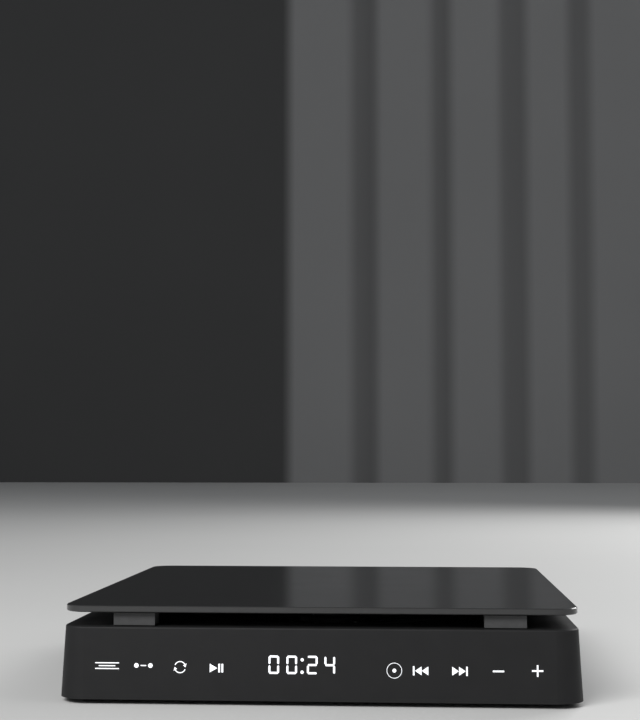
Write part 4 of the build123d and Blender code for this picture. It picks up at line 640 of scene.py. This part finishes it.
def marks(name, outlines, mats):
    bm = bmesh.new()
    for outline in outlines:
        flat = [(x, up_the_wall(z)) for x, z in outline]
        plate(bm, flat, MARK_T, wall_place(0.0), MARK_CHAMFER)
    add(name, bm, mats["mark_light"], "base")


def segment(cx, cz, length, upright=False):
    """One bar of a digit with pointed ends."""
    h, w = length / 2, DIGIT_BAR / 2
    tip = w * 0.7
    pts = [(-h, 0), (-h + tip, w), (h - tip, w), (h, 0), (h - tip, -w), (-h + tip, -w)]
    return [(cx - y, cz + x) for x, y in pts] if upright else [(cx + x, cz + y) for x, y in pts]


def digit(left, shown):
    """The shown ones of the seven bars a to g of a clock digit."""
    mid, half = (DIGIT_LOW + DIGIT_HIGH) / 2, (DIGIT_HIGH - DIGIT_LOW) / 2
    tall, wide = half - DIGIT_BAR * 0.62, DIGIT_W - DIGIT_BAR * 0.7
    inset, rise = DIGIT_BAR / 2, half / 2 - 0.05
    cx, right = left + DIGIT_W / 2, left + DIGIT_W - inset
    bars = {
        "a": segment(cx, DIGIT_HIGH - inset, wide),
        "b": segment(right, mid + rise, tall, True),
        "c": segment(right, mid - rise, tall, True),
        "d": segment(cx, DIGIT_LOW + inset, wide),
        "e": segment(left + inset, mid - rise, tall, True),
        "f": segment(left + inset, mid + rise, tall, True),
        "g": segment(cx, mid, wide),
    }
    return [bars[key] for key in shown]


def mode_mark():
    """A list, for the mode key."""
    cx, cz, step = -86.9, 15.6, 1.15
    return [rounded(cx, cz + dz, w, 0.42, 0.18) for dz, w in ((step, 10.0), (0, 7.0), (-step, 10.0))]


def stretch_mark():
    """A stretch between two points, for the part-repeat key."""
    cx, cz, reach = -71.8, 15.8, 2.9
    ends = [disc(cx + dx, cz, 0.95) for dx in (-reach, reach)]
    return ends + [rounded(cx, cz, 2.4, 0.45, 0.2)]


def repeat_mark():
    """Two curved arrows that chase each other."""
    cx, cz = -56.6, 15.3
    arrows = []
    for turn in (0, 180):
        arrows.append(arc_band(cx, cz, 2.05, 2.45, 28 + turn, 158 + turn, 14))
        a = math.radians(22 + turn)
        tip = [polar(2.25, a - 0.42), polar(3.1, a + 0.14), polar(1.4, a + 0.14)]
        arrows.append([(cx + dx, cz + dz) for dx, dz in tip])
    return arrows


def play_mark():
    """A triangle and two bars."""
    cx, cz = -41.6, 15.05
    triangle = [(cx - 2.75, cz - 1.75), (cx - 2.75, cz + 1.75), (cx + 0.4, cz)]
    return [triangle] + [rounded(cx + dx, cz, 0.75, 3.5, 0.12, 2) for dx in (1.15, 2.45)]


def remote_mark():
    """A ring with a dot where the remote is pointed."""
    cx, cz = 31.15, 14.75
    return ring_halves(cx, cz, 2.9, 3.12, 0.5, 24) + [disc(cx, cz, 0.8, 18)]


def skip_mark(cx, way):
    """A bar and two triangles that point at it, to the left for way 1 and to the right for way -1."""
    bar = rounded(cx - way * 2.9, SKIP_Z, 0.7, 3.7, 0.12, 2)
    tips = []
    for dx in (-1.0, 1.75):
        root = cx + way * (dx + 1.3)
        tips.append([(cx + way * (dx - 1.4), SKIP_Z), (root, SKIP_Z + 1.75), (root, SKIP_Z - 1.75)])
    return [bar] + tips


def minus_mark():
    return [rounded(73.2, 14.85, 4.6, 0.68, 0.14)]


def plus_mark():
    cx, cz, half, reach = 88.9, 15.15, 0.33, 2.3
    arm = [(-reach, -half), (-half, -half), (-half, -reach), (half, -reach), (half, -half), (reach, -half)]
    return [[(cx + x, cz + z) for x, z in arm + [(-x, -z) for x, z in arm]]]


def make_marks(mats):
    clock = [bar for left, shown in CLOCK for bar in digit(left, shown)]
    clock += [disc(COLON_X, z, COLON_R) for z in COLON_ZS]
    marks("mark_clock", clock, mats)
    marks("mark_mode", mode_mark(), mats)
    marks("mark_stretch", stretch_mark(), mats)
    marks("mark_repeat", repeat_mark(), mats)
    marks("mark_play", play_mark(), mats)
    marks("mark_remote", remote_mark(), mats)
    marks("mark_previous", skip_mark(41.9, 1), mats)
    marks("mark_next", skip_mark(57.6, -1), mats)
    marks("mark_minus", minus_mark(), mats)
    marks("mark_plus", plus_mark(), mats)


# Screws with a driver recess and a thread
HEAD_STEPS = 32
THREAD_STEPS = 16
THREAD_CREST = 0.98
THREAD_DEPTH = 0.2
THREAD_PITCH = 0.55
ROWS_PER_TURN = 4
DOWN, UP = (0, 0, -1), (0, 0, 1)

Screw = namedtuple("Screw", "head_r head_t shank_r shank_l")
CASE_SCREW = Screw(2.5, 1.0, 1.3, 9.9)
BOARD_SCREW = Screw(2.4, 1.2, 1.2, 5.6)
DISPLAY_SCREW = Screw(2.4, 1.2, 1.2, 5.9)
HINGE_SCREW = Screw(1.8, 0.7, 0.95, 3.0)
LID_SCREW = Screw(1.8, 0.7, 0.95, 2.6)
MOTOR_SCREW = Screw(1.9, 0.9, 1.0, 2.4)
CHASSIS_SCREW = Screw(2.6, 1.3, 1.25, 9.1)

# Where the screws sit
CASE_XS, CASE_YS = (-95, 95), (-88, 96)
DISPLAY_XS = (-80.2, -49.4, 49.4, 80.2)
HINGE_XS = (-74, -66, 66, 74)
HINGE_Y, LEAF_Y = 94.3, 94.8
MOTOR_YS, MOTOR_FLANGE_Z = (-44, -12), 13.4
CHASSIS_XS, CHASSIS_YS = (-17.5, 74.5), (-59.5, 15.5)


def circle(bm, radius, height, count):
    """Closed row of vertices round the z axis."""
    return [bm.verts.new((*polar(radius, 2 * math.pi * i / count), height)) for i in range(count)]


def skin(bm, rows):
    """Faces between closed rows of equal length."""
    for low, high in zip(rows, rows[1:]):
        for i in range(len(low)):
            j = (i + 1) % len(low)
            bm.faces.new((low[i], low[j], high[j], high[i]))


def fill_between(bm, *rows):
    """Flat faces between two closed rows, one inside the other."""
    edges = [bm.edges.get((row[i], row[(i + 1) % len(row)])) for row in rows for i in range(len(row))]
    bmesh.ops.triangle_fill(bm, use_beauty=True, use_dissolve=False, edges=edges)


def thread_rows(bm, kind):
    """Rows of a ridge that winds down the shank to a blunt tip."""
    pitch = kind.shank_r * THREAD_PITCH
    rows = [circle(bm, kind.shank_r * THREAD_CREST, 0.0, THREAD_STEPS)]
    for t in range(1, int((kind.shank_l - kind.shank_r) / pitch * ROWS_PER_TURN) + 1):
        row = []
        for i in range(THREAD_STEPS):
            phase = (t / ROWS_PER_TURN - i / THREAD_STEPS) % 1.0
            r = kind.shank_r * (THREAD_CREST - THREAD_DEPTH * abs(2 * phase - 1))
            x, y = polar(r, 2 * math.pi * i / THREAD_STEPS)
            row.append(bm.verts.new((x, y, -t * pitch / ROWS_PER_TURN)))
        rows.append(row)
    return rows + [circle(bm, kind.shank_r * 0.5, -kind.shank_l, THREAD_STEPS)]


def screw_mesh(kind):
    """Pan head with a cross recess and a rolled thread, head up, seat at z = 0."""
    bm = bmesh.new()
    r, t = kind.head_r, kind.head_t
    dome = ((r, 0.0), (r, t * 0.45), (r * 0.94, t * 0.75), (r * 0.78, t))
    head = [circle(bm, radius, z, HEAD_STEPS) for radius, z in dome]
    skin(bm, head)
    arm, wide, deep = r * 0.56, r * 0.13, t * 0.62
    cross = []
    for q in range(4):
        c, s = math.cos(q * math.pi / 2), math.sin(q * math.pi / 2)
        cross += [(x * c - y * s, x * s + y * c) for x, y in ((wide, -wide), (arm, -wide), (arm, wide))]
    rim = [bm.verts.new((x, y, t)) for x, y in cross]
    floor = [bm.verts.new((x * 0.55, y * 0.55, t - deep)) for x, y in cross]
    skin(bm, [rim, floor])
    bm.faces.new(floor)
    fill_between(bm, head[-1], rim)
    thread = thread_rows(bm, kind)
    skin(bm, thread)
    bm.faces.new(thread[-1])
    fill_between(bm, head[0], thread[0])
    bmesh.ops.scale(bm, vec=(MM, MM, MM), verts=bm.verts)
    bmesh.ops.recalc_face_normals(bm, faces=bm.faces)
    mesh = bpy.data.meshes.new("template")
    bm.to_mesh(mesh)
    bm.free()
    return mesh


def make_screws(name, node, body, groups, mats):
    """Screws of a node, in groups of (kind, head direction, seats in mm), each turned by chance."""
    bm = bmesh.new()
    for kind, out, seats in groups:
        mesh = screw_mesh(kind)
        lean = Vector(UP).rotation_difference(Vector(out)).to_matrix().to_4x4()
        for seat in seats:
            before = len(bm.verts)
            bm.from_mesh(mesh)
            bm.verts.ensure_lookup_table()
            spin = Matrix.Rotation(rng.uniform(0, math.pi / 2), 4, "Z")
            bmesh.ops.transform(bm, matrix=at(*seat) @ lean @ spin, verts=bm.verts[before:])
        bpy.data.meshes.remove(mesh)
    piece = add(name, bm, mats["screw_steel"], body, smooth=True)
    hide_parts(node)


def make_all_screws(mats):
    """The screws of each plain screw node, in the same seats."""
    case_z = low_mm("base_screws").z + CASE_SCREW.head_t
    case_seats = [(x, y, case_z) for x in CASE_XS for y in CASE_YS]
    make_screws("case_screw_set", "base_screws", "base", [(CASE_SCREW, DOWN, case_seats)], mats)

    board_seats = [(x, y, BOARD_Z) for x, y in BOARD_SCREWS]
    back = wall_place(-DISPLAY_BACK)
    inward = -(back.to_3x3() @ Vector(UP))
    display_seats = [back @ (Vector((x, DISPLAY_SCREW_UP, 0)) * MM) / MM for x in DISPLAY_XS]
    on_boards = [(BOARD_SCREW, UP, board_seats), (DISPLAY_SCREW, inward, display_seats)]
    make_screws("board_screw_set", "board_screws", "base", on_boards, mats)

    hinge_z = high_mm("hinge_screws").z - HINGE_SCREW.head_t
    hinge_seats = [(x, HINGE_Y, hinge_z) for x in HINGE_XS]
    make_screws("hinge_screw_set", "hinge_screws", "base", [(HINGE_SCREW, UP, hinge_seats)], mats)

    lid_z = low_mm("lid_screws").z + LID_SCREW.head_t
    lid_seats = [(x, LEAF_Y, lid_z) for x in HINGE_XS]
    make_screws("lid_screw_set", "lid_screws", "lid", [(LID_SCREW, DOWN, lid_seats)], mats)

    bush_z = high_mm("mech_screws").z - CHASSIS_SCREW.head_t
    motor_seats = [(SPINDLE_X, y, MOTOR_FLANGE_Z) for y in MOTOR_YS]
    chassis_seats = [(x, y, bush_z) for x in CHASSIS_XS for y in CHASSIS_YS]
    in_drive = [(MOTOR_SCREW, UP, motor_seats), (CHASSIS_SCREW, UP, chassis_seats)]
    make_screws("drive_screw_set", "mech_screws", "base", in_drive, mats)


# Packed chips on the main board, with the number of leads in a row along x and along y
Chip =namedtuple("Chip", "x y width depth height leads_x leads_y")
CHIPS = (
    Chip(16.0, 80.0, 7.0, 7.0, 1.0, 0, 8),
    Chip(34.0, 56.0, 8.0, 8.0, 1.4, 0, 4),
    Chip(16.0, 60.0, 10.0, 6.0, 1.2, 12, 0),
    Chip(-40.0, 56.0, 6.0, 6.0, 1.0, 0, 6),
    Chip(-58.0, 58.0, 14.0, 8.0, 1.2, 14, 0),
    Chip(-68.0, 74.0, 6.0, 4.0, 1.0, 4, 0),
    Chip(-14.0, 66.0, 18.0, 18.0, 1.4, 24, 24),
)
LEAD_T = 0.14
LEAD_W = 0.4

# Where small parts may lie, the rectangles they keep out of (heat sink, jacks, coil, crystal), and their gaps
SPOTS_X, SPOTS_Y = (-74, 80), (50, 90)
KEPT_FREE = ((-28, 0, 52, 80), (-66, -26, 84, 91), (40, 50, 72, 84), (1, 8, 57, 74))
TALL = [(x, y, 5) for x, y in CAPACITORS] + [(x, y, 4) for x, y in BOARD_SCREWS]
CHIP_GAP, TALL_GAP, SPOT_GAP = 2.6, 1.6, 2.8
SMALL_PARTS = 64


def make_leads(mats):
    """Gull-wing leads along the sides of the chips."""
    bm = bmesh.new()
    for chip in CHIPS:
        mid = chip.height * 0.5
        upper = [(-0.1, mid), (0.32, mid), (0.55, LEAD_T), (1.0, LEAD_T)]
        bent = upper + [(1.0, 0.0), (0.45, 0.0), (0.24, mid - LEAD_T), (-0.1, mid - LEAD_T)]
        sides = (
            (0, chip.leads_y, chip.width / 2, chip.depth),
            (90, chip.leads_x, chip.depth / 2, chip.width),
        )
        for turn, count, reach, run in sides:
            for side in (0, 180):
                facing = at(chip.x, chip.y, BOARD_Z) @ turned(turn + side, "Z")
                for i in range(count):
                    along = run * ((i + 0.5) / count - 0.5) * 0.94
                    wide = min(run / count * 0.45, LEAD_W)
                    plate(bm, bent, wide, facing @ at(reach, along + wide / 2, 0) @ turned(90, "X"))
    add("chip_leads", bm, mats["solder"], "base")


def is_free(x, y, spots):
    """True if a small part may lie there, clear of all that stands on the board and of the other parts."""
    for chip in CHIPS:
        near_x = abs(x - chip.x) < chip.width / 2 + CHIP_GAP
        if near_x and abs(y - chip.y) < chip.depth / 2 + CHIP_GAP:
            return False
    if any(math.hypot(x - cx, y - cy) < r + TALL_GAP for cx, cy, r in TALL):
        return False
    if any(x0 < x < x1 and y0 < y < y1 for x0, x1, y0, y1 in KEPT_FREE):
        return False
    return all(math.hypot(x - a, y - b) >= SPOT_GAP for a, b, _ in spots)


def free_spots(count):
    """Seeded places on the main board, each with a turn in degrees."""
    spots = []
    while len(spots) < count:
        x, y = rng.uniform(*SPOTS_X), rng.uniform(*SPOTS_Y)
        if is_free(x, y, spots):
            spots.append((round(x), round(y), rng.choice((0, 90))))
    return spots


def make_small_parts(mats):
    """Resistors and capacitors with their soldered ends."""
    bodies, ends = bmesh.new(), bmesh.new()
    for x, y, turn in free_spots(SMALL_PARTS):
        place = at(x, y, BOARD_Z) @ turned(turn, "Z")
        slab(bodies, -0.58, 0.58, -0.42, 0.42, 0.02, 0.52, 0.04, place)
        for end in (-0.76, 0.76):
            slab(ends, end - 0.22, end + 0.22, -0.46, 0.46, 0.0, 0.56, 0.06, place)
    add("chip_parts", bodies, mats["chip_ceramic"], "base")
    add("chip_part_ends", ends, mats["solder"], "base")


def make_crystal_and_coil(mats):
    """Crystal can on its flange, and a coil in a square block with the ring of its core above."""
    bm = bmesh.new()
    lift = at(0, 0, BOARD_Z)
    flange_t, can_h, block_h = 0.45, 3.6, 3.0
    plate(bm, rounded(*CRYSTAL_AT, 4.6, 11.0, 2.2, 6), flange_t, lift, 0.12)
    plate(bm, rounded(*CRYSTAL_AT, 3.8, 10.2, 1.8, 6), can_h, lift, 0.35)
    add("crystal_can", bm, mats["connector_steel"], "base", smooth=True)
    bm = bmesh.new()
    plate(bm, rounded(*COIL_AT, 7.2, 7.2, 1.2), block_h, lift, 0.3)
    core = [(1.6, block_h - 0.1), (2.9, block_h - 0.1), (2.9, 3.3), (2.5, 3.45), (1.6, 3.3)]
    lathe(bm, core, at(*COIL_AT, BOARD_Z))
    add("supply_coil", bm, mats["chip_black"], "base", smooth=True)


def make_headers(mats):
    """Two open nylon headers with their pins, and a flat-cable socket with its latch."""
    shell, pins, latch = bmesh.new(), bmesh.new(), bmesh.new()
    floor_z, rim_z, wall = BOARD_Z + 1.1, BOARD_Z + 5.0, 0.8
    front, rear = BOARD_FRONT_Y + 1.2, BOARD_FRONT_Y + 6.4
    for cx, count in ((-50.0, 6), (66.0, 5)):
        half = count + 1.4
        slab(shell, cx - half, cx + half, front, rear, BOARD_Z, floor_z + 0.1, 0.1)
        for y in (front, rear - wall):
            slab(shell, cx - half, cx + half, y, y + wall, floor_z, rim_z, 0.15)
        for x in (cx - half, cx + half - wall):
            slab(shell, x, x + wall, front + 0.7, rear - 0.7, floor_z, rim_z, 0.15)
        for i in range(count):
            x = cx + 2.0 * (i - (count - 1) / 2)
            slab(pins, x - 0.25, x + 0.25, front + 2.4, front + 2.9, floor_z, rim_z - 0.7, 0.1)
    mid, mouth, ways = 24.0, BOARD_FRONT_Y + 1.4, 28
    slab(shell, mid - 16.0, mid + 16.0, mouth, mouth + 3.2, BOARD_Z, BOARD_Z + 2.1, 0.15)
    slab(latch, mid - 16.6, mid + 16.6, mouth + 2.9, mouth + 4.5, BOARD_Z + 0.3, BOARD_Z + 2.3, 0.3)
    for i in range(ways):
        x = mid + i - (ways - 1) / 2
        slab(pins, x - 0.16, x + 0.16, mouth - 0.9, mouth + 0.1, BOARD_Z, BOARD_Z + 0.25, 0.03)
    add("headers", shell, mats["nylon_white"], "base")
    add("header_pins", pins, mats["contact_brass"], "base")
    add("cable_latch", latch, mats["connector_black"], "base")


def make_display_back(mats):
    """Driver chip and cable header on the back of the leaning front board."""
    back = wall_place(-DISPLAY_BACK) @ turned(180, "Y")
    chip, shell, pins = bmesh.new(), bmesh.new(), bmesh.new()
    up = DISPLAY_SCREW_UP - 6.5
    chip_x, chip_leads, chip_pitch = -9.0, 12, 0.95
    header_x, header_leads = 22.0, 14
    slab(chip, chip_x - 6.0, chip_x + 6.0, up - 3.2, up + 3.2, 0.0, 1.5, 0.2, back)
    for low in (up - 4.1, up + 3.1):
        for i in range(chip_leads):
            x = chip_x + chip_pitch * (i - (chip_leads - 1) / 2)
            slab(pins, x - 0.18, x + 0.18, low, low + 1.0, 0.0, 0.2, 0.03, back)
    slab(shell, header_x - 8.0, header_x + 8.0, up - 1.8, up + 1.8, 0.0, 2.2, 0.2, back)
    slab(shell, header_x - 8.6, header_x + 8.6, up + 1.7, up + 2.9, 0.3, 1.9, 0.2, back)
    for i in range(header_leads):
        x = header_x + i - (header_leads - 1) / 2
        slab(pins, x - 0.16, x + 0.16, up - 2.8, up - 1.7, 0.0, 0.2, 0.03, back)
    add("display_driver", chip, mats["chip_black"], "base")
    add("display_header", shell, mats["nylon_white"], "base")
    add("display_leads", pins, mats["solder"], "base")


# The pickup's lens and actuator
def make_lens(mats):
    """Turned lens: a short rim on its seat under a shallow dome."""
    seat, rim = LENS_LOW_Z + 0.1, LENS_LOW_Z + 0.6
    dome_r, dome_h, edge = 1.8, 0.86, 0.08
    profile = [(0.0, seat), (1.7, seat - edge), (2.06, seat - edge), (2.06, rim - edge), (1.86, rim)]
    for degrees in range(6, 79, 12):
        a = math.radians(degrees)
        profile.append((dome_r * math.cos(a), rim + dome_h * math.sin(a)))
    profile.append((0.0, rim + dome_h))
    bm = bmesh.new()
    lathe(bm, profile, at(LENS_X, LENS_Y, 0.0), 48)
    glass = add("lens_dome", bm, mats["lens_glass"], "lens_holder", smooth=True)
    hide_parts("lens")


def make_actuator(mats):
    """Magnets on their yokes, the damper block with its wires, and the printed film, by the lens."""
    magnets, yokes, wires, block, film = (bmesh.new() for _ in range(5))
    by_lens = at(LENS_X, LENS_Y, PICKUP_TOP_Z)
    for x0, x1, out0, out1 in ((-8.9, -7.4, -9.3, -8.9), (4.3, 5.8, 5.8, 6.2)):
        slab(magnets, x0, x1, -4.6, 4.6, 0.0, 1.2, 0.12, by_lens)
        slab(yokes, out0, out1, -5.4, 5.4, 0.0, 1.35, 0.06, by_lens)
    slab(block, 8.6, 11.2, -7.0, 7.0, 0.0, 1.3, 0.25, by_lens)
    for y in (-5.0, 2.0):
        slab(block, 9.2, 10.6, y, y + 3.0, 0.0, 1.4, 0.2, by_lens)
    wire_r, bore_r, length = 0.07, 0.02, 5.2
    wire = [(bore_r, 0.0), (wire_r, 0.0), (wire_r, length), (bore_r, length)]
    for y in (-6.4, 6.4):
        for z in (0.35, 0.95):
            lathe(wires, wire, by_lens @ at(3.6, y, z) @ turned(90, "Y"), 10)
    slab(film, 6.6, 13.4, -22.0, -9.4, 0.0, 0.1, 0.02, by_lens)
    slab(film, 11.6, 13.4, -9.5, 7.0, 0.0, 0.1, 0.02, by_lens)
    add("lens_magnets", magnets, mats["connector_steel"], "pickup")
    add("lens_yokes", yokes, mats["steel"], "pickup")
    add("lens_damper", block, mats["drive_plastic"], "pickup")
    add("lens_wires", wires, mats["contact_brass"], "pickup", smooth=True)
    add("pickup_print", film, mats["film_amber"], "pickup")


# Signs printed by the rear sockets
SIGN_T = 0.05
SIGN_CHAMFER = 0.01
SIGN_SINK = -0.01


def stroke(cx, cy, w, h):
    """Thin bar of a sign, in mm from the sign's middle."""
    return rounded(cx, cy, w, h, 0.1, 2)


def sign(bm, outlines, x, z):
    """Outlines printed on the rear wall round a middle at x and z."""
    place = wall_place(SIGN_SINK, 1)
    for outline in outlines:
        flat = [(-x + u, up_the_wall(z + v)) for u, v in outline]
        plate(bm, flat, SIGN_T, place, SIGN_CHAMFER)


def switch_signs(bm):
    """On and off at the two ends of the switch."""
    z, reach = 19.6, 2.6
    sign(bm, [stroke(0, 0, 0.4, 2.8)], SWITCH_X + reach, z)
    sign(bm, ring_halves(0, 0, 1.05, 1.4, 1, 14), SWITCH_X - reach, z)


def supply_signs(bm):
    """Polarity of the supply plug: outer shell negative, middle positive."""
    x, z = SOCKET_X["dc_in"], 24.4
    dash, upright = stroke(0, 0, 1.7, 0.35), stroke(0, 0, 0.35, 1.7)
    leads = [stroke(3.0, 0, 2.4, 0.3), stroke(-3.4, 0, 2.4, 0.3)]
    sign(bm, [arc_band(0, 0, 1.5, 1.85, 55, 305, 20), disc(0, 0, 0.65, 16)] + leads, x, z)
    sign(bm, [dash, upright], x - 5.8, z)
    sign(bm, [dash], x + 6.4, z)


def screen_sign():
    """A screen on its foot."""
    screen = [stroke(0, y, 4.6, 0.3) for y in (1.35, -1.35)]
    return screen + [stroke(x, 0, 0.3, 2.9) for x in (-2.15, 2.15)] + [stroke(0, -2.1, 2.4, 0.3)]


def stick_sign():
    """A memory stick with its plug."""
    stick = [rounded(-0.8, 0, 3.4, 1.9, 0.4, 3)] + [stroke(1.75, y, 1.5, 0.25) for y in (0.6, -0.6)]
    return stick + [stroke(2.4, 0, 0.25, 1.4)]


def horn_sign():
    """A loudspeaker with two waves."""
    horn = [(-1.7, -0.6), (-0.8, -0.6), (0.4, -1.5), (0.4, 1.5), (-0.8, 0.6), (-1.7, 0.6)]
    return [horn] + [arc_band(0.2, 0, r, r + 0.28, -42, 42, 8) for r in (1.2, 2.0)]


def make_rear_signs(mats):
    bm = bmesh.new()
    switch_signs(bm)
    supply_signs(bm)
    sign(bm, screen_sign(), SOCKET_X["hdmi"], 20.2)
    sign(bm, screen_sign(), SOCKET_X["av_video"] - 13.0, 19.4)
    sign(bm, stick_sign(), SOCKET_X["usb"], 20.2)
    sign(bm, horn_sign(), SOCKET_X["av_right"] + 13.0, 19.0)
    add("rear_signs", bm, mats["sign_ink"], "base")


# Stage, in metres: a pale floor, and a far wall whose paler upright panels show in the glossy lid
STAGE_X = 6.0
FLOOR_FRONT, WALL_Y, WALL_TOP = -4.0, 4.6, 5.0
WALL_DARK, PANEL_PALE, GROOVE = 0.09, 0.31, 0.2
PANEL_EDGES = ((-0.428, -0.194), (-0.097, 0.106), (0.18, 0.36), (0.462, 0.615), (0.698, 1.9))
GROOVES = (WALL_DARK, 0.17, 0.18, 0.19, 0.2)
PANEL_SOFT = 0.02
WALL_SHARE = 0.25  # share of the ramp for each metre across
AIM = (0, 0, 0.02)


def area_light(name, place, aim, size, power):
    data = bpy.data.lights.new(name, "AREA")
    data.shape = "RECTANGLE"
    data.size, data.size_y = size
    data.energy = power
    lamp = bpy.data.objects.new(name, data)
    lamp.location = place
    lamp.rotation_euler = (Vector(aim) - Vector(place)).to_track_quat("-Z", "Y").to_euler()
    scene.collection.objects.link(lamp)


def floor_finish():
    f = Finish("floor", (0.62, 0.62, 0.61), 0.6, Specular_IOR_Level=0.3)
    return f.mottle(400.0, 0.99, 1.01)


def backdrop_finish():
    """Dark wall on the left, paler upright panels with grooves between them on the right."""
    f = Finish("backdrop", grey(0.1), 0.9, Specular_IOR_Level=0.1)
    across = f.math("MULTIPLY_ADD", f.axis("X"), WALL_SHARE, 0.5)
    stops = [(0.0, WALL_DARK)]
    for level, (start, end) in zip(GROOVES, PANEL_EDGES):
        steps = ((start - PANEL_SOFT, level), (start + PANEL_SOFT, PANEL_PALE))
        steps += ((end - PANEL_SOFT, PANEL_PALE), (end + PANEL_SOFT, GROOVE))
        stops += [(x * WALL_SHARE + 0.5, tone) for x, tone in steps]
    panels = f.ramp(across, stops)
    uneven = f.ramp(f.noise(900.0), [(0.3, 0.97), (0.7, 1.03)])
    return f.paint(f.mix(1.0, panels, uneven, "MULTIPLY"))


def stage_piece(name, mat, corners):
    mesh = bpy.data.meshes.new(name)
    mesh.from_pydata(corners, [], [(0, 1, 2, 3)])
    mesh.materials.append(mat)
    obj = bpy.data.objects.new(name, mesh)
    scene.collection.objects.link(obj)


def make_stage():
    foot = [(STAGE_X, WALL_Y, 0), (-STAGE_X, WALL_Y, 0)]
    stage_piece("floor", floor_finish().mat, [(-STAGE_X, FLOOR_FRONT, 0), (STAGE_X, FLOOR_FRONT, 0)] + foot)
    head = [(STAGE_X, WALL_Y, WALL_TOP), (-STAGE_X, WALL_Y, WALL_TOP)]
    stage_piece("backdrop", backdrop_finish().mat, foot[::-1] + head)
    world = bpy.data.worlds.new("studio")
    scene.world = world
    world.use_nodes = True
    sky = world.node_tree.nodes["Background"].inputs
    sky["Color"].default_value = (0.8, 0.82, 0.85, 1.0)
    sky["Strength"].default_value = 0.32
    area_light("key", (-0.6, -1.15, 1.05), (-0.08, 0, 0.02), (1.0, 0.7), 24)
    area_light("fill", (1.6, -0.3, 1.1), AIM, (1.2, 1.0), 5)
    area_light("rim", (1.0, 1.3, 0.9), AIM, (1.2, 0.8), 18)


def main():
    make_camera()
    make_stage()
    mats = {make.__name__: make().mat for make in FINISHES}
    slots = {s["node"]: s["material_slot"] for s in frame["record"]["subparts"]}
    for name, node in frame["nodes"].items():
        for slot in node.material_slots:
            slot.material = mats[slots[name]]
    make_marks(mats)
    make_all_screws(mats)
    make_leads(mats)
    make_small_parts(mats)
    make_crystal_and_coil(mats)
    make_headers(mats)
    make_display_back(mats)
    make_lens(mats)
    make_actuator(mats)
    make_rear_signs(mats)


main()
